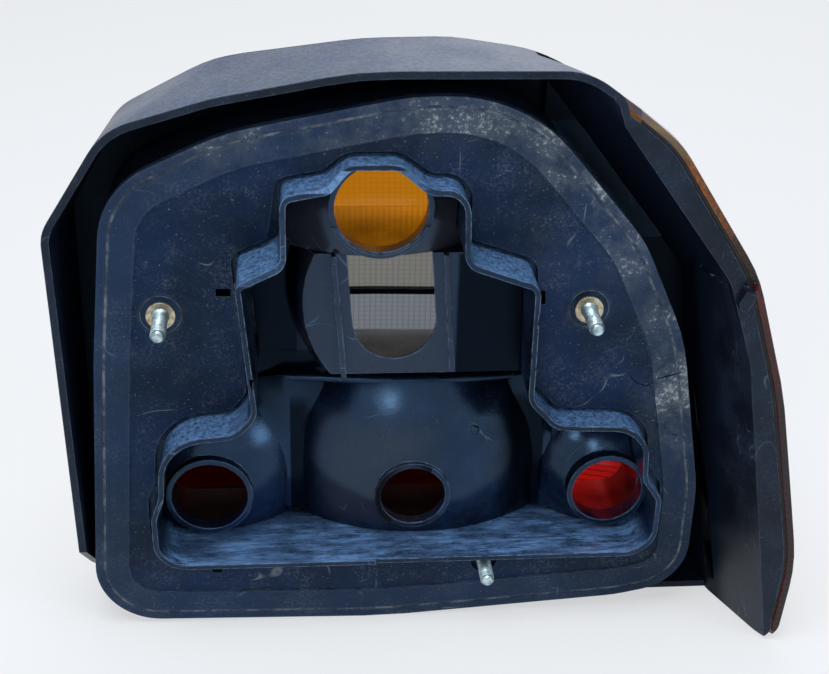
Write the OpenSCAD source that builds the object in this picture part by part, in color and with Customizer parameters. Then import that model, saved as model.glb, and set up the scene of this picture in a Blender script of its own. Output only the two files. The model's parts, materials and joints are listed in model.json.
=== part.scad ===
// Left-hand wrap-around tail light cluster, seen from its fixing side.
// X runs across the lamp, +Y towards the lens, +Z up.
// The origin is midway between the two upper studs, on the rear face of the gasket.

/* [Overall] */
// Inboard side of the lamp, from the middle of the upper studs
inboard_w = 126.5; // [125:0.5:130]
// Outboard side of the lens, from the middle of the upper studs
outboard_w = 176.5; // [174:0.5:180]
// Top of the lamp above the upper studs
top_h = 98.5; // [97:0.5:102]
// Bottom of the lamp below the upper studs
bottom_h = 148; // [146:0.5:152]
// Depth of the lens front, ahead of the gasket face
lens_front_y = 61; // [60:0.5:64]

/* [Fixing] */
// Distance between the two upper studs
stud_pitch = 168; // [164:1:170]
// Stud diameter
stud_d = 6; // [5:0.5:6]
// How far the upper studs stand out of the gasket
stud_out = 18.5; // [14:0.5:24]
// How far the lower stud stands out of the gasket
lower_stud_out = 14; // [10:0.5:20]
// Place of the lower stud across the lamp
lower_stud_x = 47.5; // [40:0.5:55]
// How far the lower stud lies below the recess
lower_stud_drop = 8; // [7:0.5:10]
// Washer outside diameter
washer_d = 11.4; // [10:0.1:12]
// Washer thickness
washer_t = 1.2; // [0.8:0.1:1.6]
// Diameter of the stud bosses
boss_d = 16.4; // [15:0.1:18]

/* [Gasket] */
// Thickness of the foam gasket at its raised border
gasket_t = 4; // [3:0.1:5]
// How far the inner sheet lies below the raised border
gasket_step = 0.8; // [0.4:0.1:1.5]
// Width of the raised border
gasket_band = 14; // [8:0.5:16]
// How far the dust groove lies from the gasket's edge
groove_in = 3.2; // [2:0.2:5]
// Gap between the gasket and the collar
gasket_gap = 2; // [1:0.1:3]

/* [Housing] */
// Wall of the rear housing
housing_t = 2.4; // [2:0.1:3]
// Thickness of the flange that carries the gasket
flange_t = 3; // [2.5:0.1:4]
// Depth of the channel floor, behind the gasket face
floor_y = 34; // [30:0.5:38]
// Wall of the collar round the recess
collar_t = 2.2; // [1.8:0.1:2.6]
// How far the collar tube runs towards the lens
tube_end_y = 38; // [36:0.5:40]

/* [Shroud] */
// Wall of the outer shroud
shroud_t = 3; // [2.5:0.1:3.5]
// How far the shroud rim stands behind the gasket face
rim_out = 3; // [2:0.1:5]
// Where the shroud ends and the lens begins
joint_y = 46; // [44:0.5:48]
// Lean of the wing's inner wall, seen from behind
wing_lean = 8; // [6:0.5:10]
// Lean of the wing's upper stretch
slope_lean = 38; // [36:0.5:40]
// Thickness of the wing's rear rim
wing_rim_t = 3; // [2:0.1:4]

/* [Lenses] */
// Wall of the lenses
lens_t = 2.6; // [2.2:0.1:3]
// Width of the groove between the wing rim and the lens
groove_w = 1.5; // [1:0.1:2]
// Thickness of the sealing beads
bead_t = 0.8; // [0.6:0.1:1.2]
// Height of the line between the amber lens and the ones below
amber_line_z = 19; // [16:0.5:21]
// Height of the line between the clear lens and the red one
clear_line_z = -38; // [-40:0.5:-36]
// Outboard end of the clear lens
clear_end_x = 66; // [62:0.5:70]

/* [Turn reflector] */
// Diameter of the turn bulb's opening
turn_hole_d = 36; // [34:0.5:37]
// Place of the turn bulb across the lamp
turn_x = 1; // [-2:0.5:3]
// Height of the turn bulb
turn_z = 43.5; // [42:0.5:44]
// Radius of the turn bowl
turn_r = 60; // [56:0.5:64]
// Depth of the turn bowl's top behind the gasket face
turn_top_y = 1.5; // [1:0.1:3]
// Height of the turn pod's lower edge
turn_lip_z = 21.8; // [21:0.1:23]

/* [Reverse reflector] */
// Width of the reverse bulb's slot
slot_w = 33.5; // [30:0.5:35]
// Place of the slot across the lamp
slot_x = 7.4; // [6:0.1:9]
// Height of the centre of the slot's round end
slot_z = -8.5; // [-10:0.5:-7]
// Depth of the flat plate round the slot
plate_y = 9; // [8:0.5:11]
// Radius of the flat plate
plate_r = 51; // [48:0.5:54]
// Radius of the bowl that the plate cuts
reverse_r = 58; // [56:0.5:62]
// Lean of the slot and its ribs
reverse_lean = 4.5; // [3:0.5:6]

/* [Tail reflector] */
// Diameter of the left bulb opening
left_hole_d = 32; // [30:0.5:33]
// Diameter of the centre bulb opening
centre_hole_d = 27.4; // [26:0.1:29]
// Diameter of the right bulb opening
right_hole_d = 30; // [28:0.5:31]
// Height of the three lower bulbs
tail_z = -90; // [-91:0.5:-89]
// Top edge of the lower bowls
tail_top_z = -42.5; // [-44:0.5:-41]
// Bottom of the recess
recess_low_z = -113; // [-114:0.5:-112]

/* [Hidden] */

$fn = 64;
arc_step = 6;
far = 400;
fit = 0.4;
seat = 0.02;
lap = 1;
slice_t = 1;

stud_left_at = [-stud_pitch / 2, 0];
stud_right_at = [stud_pitch / 2, 0];
stud_lower_at = [lower_stud_x, recess_low_z - lower_stud_drop];
flange_y = gasket_t;
flange_back = flange_y + flange_t;
flange_in = 0.8;
floor_back = floor_y + housing_t;
floor_low_z = 2 - bottom_h;
panel_y = floor_y - 6;
panel_low_z = 19;
panel_x = 66;
washer_y = gasket_step - washer_t;
shank_d = stud_d + 0.8;
anchor_d = stud_d + 4;
anchor_y = flange_y + 1.2;
boss_back = flange_back + 6;
boss_gap = 0.5;
lower_boss_d = boss_d - 2;
lower_clearance = 2.5;
groove_t = 1.2;
groove_depth = 0.5;

// Corners are [across, up, radius], anticlockwise as seen from behind the lamp.
shroud_corners = [
    [4.5 - inboard_w, -bottom_h, 22], [outboard_w - 7, -bottom_h, 6], [outboard_w - 5.5, -105, 90],
    [outboard_w - 22, -32, 120], [outboard_w - 38.5, 19, 22], [93.5, top_h - 20, 4],
    [90, top_h - 10, 8], [76, top_h, 30],
    [-8, top_h, 140], [-62, top_h - 10.2, 80], [25.5 - inboard_w, top_h - 22, 28], [-inboard_w, 36, 18]];
lens_corners = [
    [4.5 - inboard_w, -bottom_h, 22], [outboard_w - 4, -bottom_h, 9], [outboard_w - 1, -108, 90],
    [outboard_w - 16.5, -28, 120], [outboard_w - 31.5, 22, 60], [112, top_h - 26.5, 40],
    [97, top_h - 15, 10], [76, top_h, 30],
    [-8, top_h, 140], [-62, top_h - 10.2, 80], [25.5 - inboard_w, top_h - 22, 28], [-inboard_w, 36, 18]];
// The outline where the shroud meets the lens, drawn in by the mould's draft.
joint_corners = [
    [6 - inboard_w, -bottom_h, 22], [outboard_w - 4, -bottom_h, 9], [outboard_w - 1, -108, 90],
    [outboard_w - 16.5, -28, 120], [outboard_w - 31.5, 22, 60], [104, top_h - 27.5, 30],
    [64, top_h - 6.5, 60], [30, top_h - 1.3, 80], [-5, top_h - 2, 140], [-62, top_h - 9.5, 60],
    [26.5 - inboard_w, top_h - 29.5, 24], [6.5 - inboard_w, 34, 20]];
flange_corners = [
    [7.5 - inboard_w, 2.5 - bottom_h, 27], [5, -bottom_h, 200], [106, 7.5 - bottom_h, 60],
    [137, 14 - bottom_h, 24], [137, -85, 70], [124, -14, 90], [104, 29, 60],
    [54, top_h - 10.5, 62], [12, top_h - 10.5, 90], [-58, top_h - 24.5, 90],
    [22.5 - inboard_w, 52, 34], [15.5 - inboard_w, -20, 120]];
recess_corners = [
    [-91.5, recess_low_z, 14], [119.5, recess_low_z, 14], [119.5, -84, 6], [112.5, -74, 10],
    [111, -48.5, 16], [73, -47, 9], [62, -34, 10], [60.5, 20, 6], [33.5, 29, 5], [33.5, 55.5, 9],
    [18.9, 55.8, 7], [7.3, 64.4, 11], [-12, 64.4, 10], [-20, 57.5, 6], [-37.5, 54.5, 5], [-37.5, 31, 4],
    [-54.5, 24, 4], [-49.5, -36, 10], [-57, -45, 8], [-86.5, -48, 20], [-88, -76, 12], [-91.5, -86, 8]];
// The gasket stands further off the collar beside the turn pod.
pod_relief_corners = [[-42.8, 27.5, 2.5], [-36, 30, 1], [-34, 57, 1], [-38.6, 55.5, 3]];

// Plan of the lens front: [across, depth, radius].
front_corners = [
    [-far, -far, 1], [far, -far, 1], [outboard_w + 2.5, -32, 30], [outboard_w - 10.5, lens_front_y - 31, 40],
    [95, lens_front_y - 5, 120], [-10, lens_front_y, 300], [-112, lens_front_y - 4, 30],
    [-far, lens_front_y - 120, 1]];
// Plans of the wing's inner wall, from a pivot on its lower and on its upper stretch.
wing_pivot = [outboard_w - 10.5, 10 - bottom_h];
wing_wall_corners = [
    [-far, -far, 1], [13, -far, 1], [1, -26, 6], [-16, 13, 14], [-18, 60, 1], [-18, far, 1], [-far, far, 1]];
slope_pivot = [outboard_w - 41, 17.2];
slope_wall_corners = [
    [-far, -far, 1], [7, -far, 1], [7, -8, 4], [-13, 28, 14], [-15, 60, 1], [-15, far, 1], [-far, far, 1]];
// Plan of the shroud's rear edge, with what lies in front of it.
rim_corners = [
    [-far, -rim_out, 1], [86, -rim_out, 40], [125, -11, 80], [166, -24.3, 60], [far, -57, 1],
    [far, far, 1], [-far, far, 1]];

// The collar's free edge, as [depth, height], for its left and right halves.
collar_left = [[-7.5, 80], [-7.5, 62], [-14, 56], [-19, 38], [-25, 24], [-20, -20], [-16, -45], [-10, -120]];
collar_right = [[-7.5, 80], [-7.5, 62], [-11, 56], [-16, 40], [-20.5, 20], [-15, -20], [-11, -45], [-9.5, -120]];

// Bowls of the reflectors: [across, radius, depth of the top].
turn_bowl = [turn_x, turn_r, turn_top_y];
left_bowl = [-69, 48.6, 9.5];
centre_bowl = [20, 80, 6.5];
right_bowl = [103, 37, 7];
left_hole_x = -68.9;
centre_hole_x = 16.6;
right_hole_x = 100;
bowl_t = 2.2;
ring_t = 2.2;
ring_out = 0.6;
ring_over = 0.4;
lip_out = 1.2;
lip_gap = 0.5;
lip_top_z = turn_z - 7;
bowl_back_y = 34;
turn_back_y = 24;
reverse_back_y = 30;
bowl_front_y = tube_end_y + 5;
turn_front_y = lens_front_y - 10;
reverse_x = 22;
reverse_low_z = -32;
rib_reach = 22;
rib_t = 2;
rib_out = 3;

// Slots through the housing: [across, up, width, height].
latch_slot_right = [60.6, 1.5, 5.4, 6.5];
latch_slot_left = [-60, 6, 5.4, 5.5];
drain_at = [-68.7, recess_low_z - 10, 4.1, 2.8];
slot_deep = 20;

// Inside the lens: the bar between two optics, and the reflex plate.
bar_z = -18.5;
bar_h = 2.4;
bar_t = 3;
reflex_t = 2.5;
reflex_from = [-100, -136];
reflex_to = [-10, -116];

// The lens's rounded front edge, and where the wing's rim, lens and beads begin.
front_edge = 7;
wing_x = 93;
lens_from_x = wing_x + 3;
seal_from_x = wing_x + 4;
seal_in = 1;
seal_end_x = 86;

// How the skirt steps back at the bottom, and how the wing's channel opens there.
skirt_top_z = 40 - bottom_h;
skirt_foot_z = 5 - bottom_h;
skirt_low_z = -bottom_h - 12;
skirt_end_x = 120;
step_x = 100;
step_top_z = 4 - bottom_h;
open_y = 14;
open_x = 60;
open_top_z = 23 - bottom_h;

// The catch on the wing's rim.
clip_at = [140, -19, amber_line_z - 6];
clip_size = [5, 6, 8];
clip_lean = 25;

function unit(v) = v / norm(v);
function side(v) = [-v.y, v.x];
function xy(c) = [c.x, c.y];
function before(list, i) = xy(list[(i + len(list) - 1) % len(list)]);
function after(list, i) = xy(list[(i + 1) % len(list)]);

// Points of one rounded corner.
function corner_arc(a, b, c, r) =
    let (
        u = unit(a - b),
        v = unit(c - b),
        half = acos(u * v) / 2,
        centre = b + unit(u + v) * r / sin(half),
        start = b + u * r / tan(half) - centre,
        from = atan2(start.y, start.x),
        turn = (180 - 2 * half) * sign(cross(b - a, c - b)),
        n = max(1, ceil(abs(turn) / arc_step))
    )
    [for (i = [0:n]) centre + r * [cos(from + turn * i / n), sin(from + turn * i / n)]];

function rounded(corners) = [
    for (i = [0:len(corners) - 1])
        each corner_arc(before(corners, i), xy(corners[i]), after(corners, i), corners[i].z)];

// The same outline moved inwards by d, or outwards if d is negative.
function inset(corners, d) = [
    for (i = [0:len(corners) - 1])
        let (
            b = xy(corners[i]),
            m = side(unit(b - before(corners, i))),
            n = side(unit(after(corners, i) - b)),
            p = b + (m + n) / (1 + m * n) * d,
            bend = cross(b - before(corners, i), after(corners, i) - b)
        )
        [p.x, p.y, max(0.3, corners[i].z - sign(bend) * d)]];

// An outline seen from behind, as a prism between two depths.
module prism(corners, from_y, to_y) {
    translate([0, to_y, 0])
        rotate([90, 0, 0])
            linear_extrude(to_y - from_y)
                polygon(rounded(corners));
}

// A plan, as a prism over the lamp's whole height.
module plan(corners) {
    translate([0, 0, -far])
        linear_extrude(2 * far)
            polygon(rounded(corners));
}

// A side view of [depth, height] points, as a prism between two places across the lamp.
module profile(points, from_x, to_x) {
    translate([from_x, 0, 0])
        rotate([90, 0, 90])
            linear_extrude(to_x - from_x)
                polygon(points);
}

// A round bar along Y, at [across, up].
module bar(at, d, from_y, to_y) {
    translate([at.x, to_y, at.y])
        rotate([90, 0, 0])
            cylinder(d = d, h = to_y - from_y);
}

module block(from, to) {
    translate(from)
        cube(to - from);
}

// A block over the lamp's whole width, or its whole depth.
module layer(from_z, to_z, from_y = -far, to_y = far) {
    block([-far, from_y, from_z], [far, to_y, to_z]);
}

// A cut through the gasket and the flange: [across, up, width, height].
module slot(s) {
    block([s.x, -slot_deep, s.y], [s.x + s.z, slot_deep, s.y + s[3]]);
}

// The drafted outside of shroud and lens together, set in by d.
module crown(d) {
    hull() {
        prism(inset(lens_corners, d), -far, -rim_out);
        prism(inset(joint_corners, d), joint_y - slice_t, joint_y);
        prism(inset(joint_corners, d + front_edge), lens_front_y - slice_t, lens_front_y);
    }
}

// What lies inboard of one stretch of the wing's wall, set in by d.
module inside_wall(pivot, lean, corners, d) {
    translate([pivot.x, 0, pivot.y])
        rotate([0, -lean, 0])
            plan(inset(corners, d));
}

// What lies inboard of the whole wing wall, set in by d.
module leaned_channel(d) {
    intersection() {
        inside_wall(wing_pivot, wing_lean, wing_wall_corners, d);
        inside_wall(slope_pivot, slope_lean, slope_wall_corners, d);
    }
}

// The space inside the shroud, made smaller by d.
module channel_space(d, to_y) {
    intersection() {
        prism(inset(shroud_corners, shroud_t + d), -far, to_y);
        leaned_channel(d);
        crown(shroud_t + d);
    }
}

// Everything in front of the shroud's rear edge, moved towards the lens by d.
module ahead_of_rim(d) {
    translate([0, d, 0])
        plan(rim_corners);
}

// The solid that the shroud's walls are cut from.
module shroud_envelope(to_y) {
    intersection() {
        prism(shroud_corners, -far, to_y);
        leaned_channel(-shroud_t);
        plan(inset(front_corners, lens_t));
        crown(0);
    }
}

module outer_shroud() {
    color([0.10, 0.13, 0.19])
        difference() {
            union() {
                intersection() {
                    shroud_envelope(joint_y - bead_t);
                    ahead_of_rim(0);
                }
                wing_rim();
                rim_clip();
            }
            channel_space(0, far);
            lower_recede();
        }
}

// The flat rim along the rear edge of the wing.
module wing_rim() {
    difference() {
        intersection() {
            prism(inset(lens_corners, lens_t + groove_w), -far, far);
            ahead_of_rim(0);
            block([wing_x, -far, -far], [far, far, far]);
        }
        ahead_of_rim(wing_rim_t);
        open_bottom();
    }
}

// A small catch where the wing's two lens colours meet.
module rim_clip() {
    translate(clip_at)
        rotate([0, clip_lean, 0])
            cube(clip_size, center = true);
}

// The skirt steps back towards the lens at the bottom, where the bumper lies.
module lower_recede() {
    intersection() {
        leaned_channel(0);
        union() {
            profile([[-far, skirt_top_z], [-rim_out, skirt_top_z], [floor_y, skirt_foot_z],
                [floor_back + lap, skirt_low_z], [-far, skirt_low_z]], -far, skirt_end_x);
            block([step_x, -far, skirt_low_z], [far, open_y, step_top_z]);
        }
    }
}

// The channel beside the wing is open at the bottom.
module open_bottom() {
    intersection() {
        leaned_channel(-shroud_t);
        block([open_x, -far, -far], [far, open_y, open_top_z]);
    }
}

// The housing is one moulding. Its walls and floor, its flange and its collar are three nodes.
module rear_housing() {
    color([0.07, 0.10, 0.17])
        union() {
            plateau_wall();
            channel_floor();
        }
}

module housing_flange() {
    color([0.07, 0.10, 0.17])
        difference() {
            union() {
                prism(inset(flange_corners, flange_in), flange_y, flange_back);
                stud_boss(stud_left_at);
                stud_boss(stud_right_at);
                lower_boss();
            }
            prism(recess_corners, -far, far);
            stud_hole(stud_left_at);
            stud_hole(stud_right_at);
            stud_hole(stud_lower_at);
            housing_slots();
        }
}

// The walls between the flange and the channel floor.
module plateau_wall() {
    difference() {
        prism(inset(flange_corners, flange_in), flange_back, floor_back);
        prism(inset(flange_corners, flange_in + housing_t), -far, far);
    }
}

module housing_slots() {
    slot(latch_slot_left);
    slot(latch_slot_right);
    slot(drain_at);
}

// The floor round the flange, with a raised panel at the upper outboard side.
module channel_floor() {
    difference() {
        intersection() {
            channel_space(seat, floor_back);
            union() {
                layer(floor_low_z, far, floor_y, far);
                block([panel_x, panel_y, panel_low_z], [far, far, far]);
            }
        }
        prism(inset(flange_corners, flange_in + housing_t), -far, far);
        block([panel_x + housing_t, panel_y + housing_t, panel_low_z + housing_t], [far, far, far]);
    }
}

// The collar round the recess, from its free edge to the bowls.
module recess_collar() {
    color([0.07, 0.10, 0.17])
        difference() {
            intersection() {
                prism(recess_corners, -far, tube_end_y);
                union() {
                    behind_edge(collar_left, -far, 0);
                    behind_edge(collar_right, 0, far);
                }
            }
            prism(inset(recess_corners, collar_t), -far, far);
            housing_slots();
        }
}

// What lies between the collar's free edge and the end of the tube.
module behind_edge(edge, from_x, to_x) {
    profile(concat(edge, [[tube_end_y, -far], [tube_end_y, edge[0].y]]), from_x, to_x);
}

module stud_boss(at) {
    bar(at, boss_d, gasket_step, boss_back);
}

module lower_boss() {
    bar(stud_lower_at, lower_boss_d, flange_back - lap, boss_back);
}

// The seat of one stud's shank and of its wider anchor.
module stud_hole(at) {
    bar(at, shank_d, -far, boss_back);
    bar(at, anchor_d, anchor_y, far);
}

module body_gasket() {
    color([0.10, 0.15, 0.24])
        difference() {
            prism(flange_corners, 0, gasket_t - seat);
            prism(inset(flange_corners, gasket_band), -far, gasket_step);
            dust_groove();
            prism(inset(recess_corners, -gasket_gap), -far, far);
            prism(pod_relief_corners, -far, far);
            bar(stud_left_at, boss_d + 2 * boss_gap, -far, far);
            bar(stud_right_at, boss_d + 2 * boss_gap, -far, far);
            bar(stud_lower_at, stud_d + 2 * lower_clearance, -far, far);
            slot(drain_at);
        }
}

// A shallow groove that runs round the gasket inside its edge.
module dust_groove() {
    difference() {
        prism(inset(flange_corners, groove_in), -far, groove_depth);
        prism(inset(flange_corners, groove_in + groove_t), -far, far);
    }
}

// A moulded bowl: spheres and a back plate, open towards the lens.
module bowl_shell(bowls, z, from_z, to_z, back_y, front_y = bowl_front_y) {
    difference() {
        intersection() {
            union() {
                for (b = bowls)
                    ball(b, z, 0);
                layer(from_z, to_z, back_y, front_y);
            }
            prism(inset(recess_corners, collar_t + fit), -far, front_y);
            layer(from_z, to_z);
        }
        intersection() {
            union() {
                for (b = bowls)
                    ball(b, z, bowl_t);
                layer(from_z, to_z, back_y + bowl_t, far);
            }
            prism(inset(recess_corners, collar_t + fit + bowl_t), -far, far);
            layer(from_z + bowl_t, to_z - bowl_t);
        }
    }
}

// One sphere of a bowl, its wall set in by d: [across, radius, depth of the top].
module ball(b, z, d) {
    translate([b.x, b.z + b.y, z])
        sphere(r = b.y - d);
}

// Where a ring round a bulb's opening ends, inside the bowl's curve.
function ring_end(at, d, bowl) =
    let (reach = d / 2 + abs(at.x - bowl.x))
    bowl.z + bowl.y - sqrt(pow(bowl.y - bowl_t, 2) - pow(reach, 2)) + ring_over;

module bulb_ring(at, d, bowl) {
    bar(at, d + 2 * ring_t, bowl.z - ring_out, ring_end(at, d, bowl));
}

module bulb_hole(at, d, bowl) {
    bar(at, d, -far, ring_end(at, d, bowl));
}

module turn_reflector() {
    at = [turn_x, turn_z];
    color([0.06, 0.09, 0.15])
        difference() {
            union() {
                bowl_shell([turn_bowl], turn_z, turn_lip_z, far, turn_back_y, turn_front_y);
                bulb_ring(at, turn_hole_d, turn_bowl);
                turn_lip(at);
            }
            bulb_hole(at, turn_hole_d, turn_bowl);
            recess_trim();
        }
}

// The raised lip round the lower half of the turn bulb's opening.
module turn_lip(at) {
    top_y = turn_top_y - ring_out;
    intersection() {
        difference() {
            bar(at, turn_hole_d + 2 * ring_t, top_y - lip_out, top_y);
            bar(at, turn_hole_d + 2 * lip_gap, -far, far);
        }
        layer(-far, lip_top_z);
    }
}

// Everything outside the space that the reflectors may fill.
module recess_trim() {
    difference() {
        layer(turn_lip_z + 2 * ring_t, far);
        prism(inset(recess_corners, collar_t + fit), -far, far);
    }
}

module reverse_reflector() {
    top_y = plate_y + sqrt(pow(reverse_r, 2) - pow(plate_r, 2)) - reverse_r;
    top_z = turn_lip_z - fit;
    color([0.06, 0.09, 0.15])
        difference() {
            union() {
                intersection() {
                    bowl_shell([[reverse_x, reverse_r, top_y]], 0, reverse_low_z, top_z, reverse_back_y);
                    layer(-far, far, plate_y, far);
                }
                intersection() {
                    bar([reverse_x, 0], 2 * plate_r - lap, plate_y, plate_y + bowl_t);
                    prism(inset(recess_corners, collar_t + fit), -far, far);
                    layer(reverse_low_z, top_z);
                }
                reverse_ribs(top_z);
            }
            reverse_slot();
        }
}

module lean_reverse() {
    translate([slot_x, 0, slot_z])
        rotate([0, -reverse_lean, 0])
            children();
}

module reverse_slot() {
    lean_reverse() {
        bar([0, 0], slot_w, -far, reverse_back_y);
        block([-slot_w / 2, -far, 0], [slot_w / 2, reverse_back_y, far]);
    }
}

// Two upright ribs on the plate, beside the slot.
module reverse_ribs(top_z) {
    intersection() {
        lean_reverse()
            for (s = [-1, 1])
                block([s * rib_reach - rib_t / 2, plate_y - rib_out, reverse_low_z - slot_z],
                    [s * rib_reach + rib_t / 2, plate_y + lap, far]);
        layer(reverse_low_z, top_z);
    }
}

module tail_reflector() {
    left_at = [left_hole_x, tail_z];
    centre_at = [centre_hole_x, tail_z];
    right_at = [right_hole_x, tail_z];
    color([0.06, 0.09, 0.15])
        difference() {
            union() {
                bowl_shell([left_bowl, centre_bowl, right_bowl], tail_z, -far, tail_top_z, bowl_back_y);
                light_shield();
                bulb_ring(left_at, left_hole_d, left_bowl);
                bulb_ring(centre_at, centre_hole_d, centre_bowl);
                bulb_ring(right_at, right_hole_d, right_bowl);
            }
            bulb_hole(left_at, left_hole_d, left_bowl);
            bulb_hole(centre_at, centre_hole_d, centre_bowl);
            bulb_hole(right_at, right_hole_d, right_bowl);
        }
}

// The upright plate that closes the gap between the tail bowls and the reverse bowl.
module light_shield() {
    intersection() {
        prism(inset(recess_corners, collar_t + fit), bowl_back_y, bowl_back_y + bowl_t);
        layer(tail_top_z - lap, reverse_low_z - fit);
    }
}

// The outside of all lenses together, its surface set in by d.
module lens_block(d) {
    intersection() {
        prism(inset(lens_corners, d), -far, far);
        plan(inset(front_corners, d));
        crown(d);
    }
}

module lens_shell() {
    difference() {
        intersection() {
            lens_block(0);
            lens_side();
        }
        lens_block(lens_t);
        shroud_envelope(joint_y);
        open_bottom();
    }
}

// Where the lens covers the lamp: ahead of the joint, and over the wing.
module lens_side() {
    layer(-far, far, joint_y, far);
    intersection() {
        ahead_of_rim(0);
        block([lens_from_x, -far, -far], [far, far, far]);
    }
}

module turn_lens() {
    color([0.85, 0.45, 0.05])
        intersection() {
            lens_shell();
            layer(amber_line_z, far);
        }
}

module reverse_lens() {
    color([0.75, 0.78, 0.78])
        intersection() {
            lens_shell();
            block([-far, -far, clear_line_z], [clear_end_x, far, amber_line_z]);
        }
}

module tail_lens() {
    color([0.45, 0.03, 0.03])
        intersection() {
            lens_shell();
            union() {
                layer(-far, clear_line_z);
                block([clear_end_x, -far, clear_line_z], [far, far, amber_line_z]);
            }
        }
}

// The bead between the shroud's front edge and the lens.
module lens_seal() {
    color([0.02, 0.02, 0.02])
        intersection() {
            difference() {
                prism(shroud_corners, joint_y - bead_t, joint_y);
                channel_space(0, far);
                block([seal_end_x, -far, -far], [far, far, far]);
            }
            crown(0);
        }
}

// The bead in the groove between the wing's rim and the lens.
module wing_seal() {
    color([0.02, 0.02, 0.02])
        difference() {
            intersection() {
                prism(inset(lens_corners, lens_t), -far, far);
                ahead_of_rim(seal_in);
                block([seal_from_x, -far, -far], [far, far, far]);
            }
            prism(inset(lens_corners, lens_t + groove_w), -far, far);
            ahead_of_rim(wing_rim_t);
            open_bottom();
        }
}

// What lies against the inner face of the lens, to the thickness t.
module lens_lining(t, from, to) {
    intersection() {
        difference() {
            plan(inset(front_corners, lens_t));
            plan(inset(front_corners, lens_t + t));
        }
        block([from.x, joint_y, from.y], [to.x, far, to.y]);
    }
}

module reflex_reflector() {
    color([0.60, 0.04, 0.04])
        lens_lining(reflex_t, reflex_from, reflex_to);
}

// The dark bar between the two optics of the reversing light.
module reverse_lens_bar() {
    color([0.05, 0.05, 0.06])
        lens_lining(bar_t, [-plate_r, bar_z], [clear_end_x, bar_z + bar_h]);
}

// A stud: threaded end, plain shank and the anchor moulded into its boss.
module stud(at, out, shank_y) {
    color([0.72, 0.74, 0.72])
        union() {
            bar(at, stud_d, -out, shank_y);
            bar(at, shank_d, shank_y, anchor_y);
            bar(at, anchor_d, anchor_y, boss_back);
        }
}

module stud_left() {
    stud(stud_left_at, stud_out, washer_y);
}

module stud_right() {
    stud(stud_right_at, stud_out, washer_y);
}

module stud_lower() {
    stud(stud_lower_at, lower_stud_out, flange_y);
}

module washer(at) {
    color([0.66, 0.60, 0.50])
        difference() {
            bar(at, washer_d, washer_y, gasket_step);
            bar(at, shank_d, -far, far);
        }
}

module washer_left() {
    washer(stud_left_at);
}

module washer_right() {
    washer(stud_right_at);
}

// Soft ring that fills the gap between a boss and the gasket.
module boss_seal(at) {
    color([0.04, 0.05, 0.07])
        difference() {
            bar(at, boss_d + 2 * boss_gap, gasket_step, gasket_t);
            bar(at, boss_d, -far, far);
        }
}

module boss_seal_left() {
    boss_seal(stud_left_at);
}

module boss_seal_right() {
    boss_seal(stud_right_at);
}

outer_shroud();
rear_housing();
housing_flange();
recess_collar();
body_gasket();
turn_reflector();
reverse_reflector();
tail_reflector();
turn_lens();
reverse_lens();
tail_lens();
lens_seal();
wing_seal();
reflex_reflector();
reverse_lens_bar();
stud_left();
stud_right();
stud_lower();
washer_left();
washer_right();
boss_seal_left();
boss_seal_right();
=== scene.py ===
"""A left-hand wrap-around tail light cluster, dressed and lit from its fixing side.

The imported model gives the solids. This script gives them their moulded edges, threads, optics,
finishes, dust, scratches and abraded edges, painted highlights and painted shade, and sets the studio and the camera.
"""

from __future__ import annotations

import json
import logging
import math
from dataclasses import dataclass, field
from enum import Enum
from typing import Any, Iterable, Sequence

import bmesh
import bpy
from mathutils import Matrix, Vector
from mathutils.bvhtree import BVHTree

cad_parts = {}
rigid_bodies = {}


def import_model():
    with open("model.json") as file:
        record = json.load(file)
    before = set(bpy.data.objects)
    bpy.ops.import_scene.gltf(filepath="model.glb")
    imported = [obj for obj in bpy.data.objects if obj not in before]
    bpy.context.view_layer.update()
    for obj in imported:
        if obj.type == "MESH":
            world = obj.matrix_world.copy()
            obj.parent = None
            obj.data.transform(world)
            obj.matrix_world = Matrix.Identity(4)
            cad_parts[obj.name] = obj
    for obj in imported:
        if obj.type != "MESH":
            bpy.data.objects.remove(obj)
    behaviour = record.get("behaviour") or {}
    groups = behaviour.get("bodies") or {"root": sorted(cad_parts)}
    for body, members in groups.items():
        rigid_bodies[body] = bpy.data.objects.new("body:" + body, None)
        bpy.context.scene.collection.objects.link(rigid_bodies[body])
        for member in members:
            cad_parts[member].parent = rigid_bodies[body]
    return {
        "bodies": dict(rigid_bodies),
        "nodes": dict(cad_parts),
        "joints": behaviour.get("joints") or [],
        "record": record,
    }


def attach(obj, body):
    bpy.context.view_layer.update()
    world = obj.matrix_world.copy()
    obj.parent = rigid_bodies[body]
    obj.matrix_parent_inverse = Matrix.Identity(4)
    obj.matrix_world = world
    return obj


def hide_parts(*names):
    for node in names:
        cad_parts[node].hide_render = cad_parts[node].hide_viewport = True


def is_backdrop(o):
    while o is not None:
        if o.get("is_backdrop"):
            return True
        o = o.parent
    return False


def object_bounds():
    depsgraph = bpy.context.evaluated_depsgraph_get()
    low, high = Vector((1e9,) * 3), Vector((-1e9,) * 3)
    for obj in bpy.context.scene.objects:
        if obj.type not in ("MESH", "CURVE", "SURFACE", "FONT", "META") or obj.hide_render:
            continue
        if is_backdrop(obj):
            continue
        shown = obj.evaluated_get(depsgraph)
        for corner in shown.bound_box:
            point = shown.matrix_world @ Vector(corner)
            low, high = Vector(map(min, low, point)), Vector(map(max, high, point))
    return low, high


LOG = logging.getLogger("tail_light")
MM = 0.001
Socket = bpy.types.NodeSocket
Colour = tuple[float, float, float]
Zone = tuple[tuple[float, float, float, float], tuple[float, float, float, float]]
Step = tuple[float, float]


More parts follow.
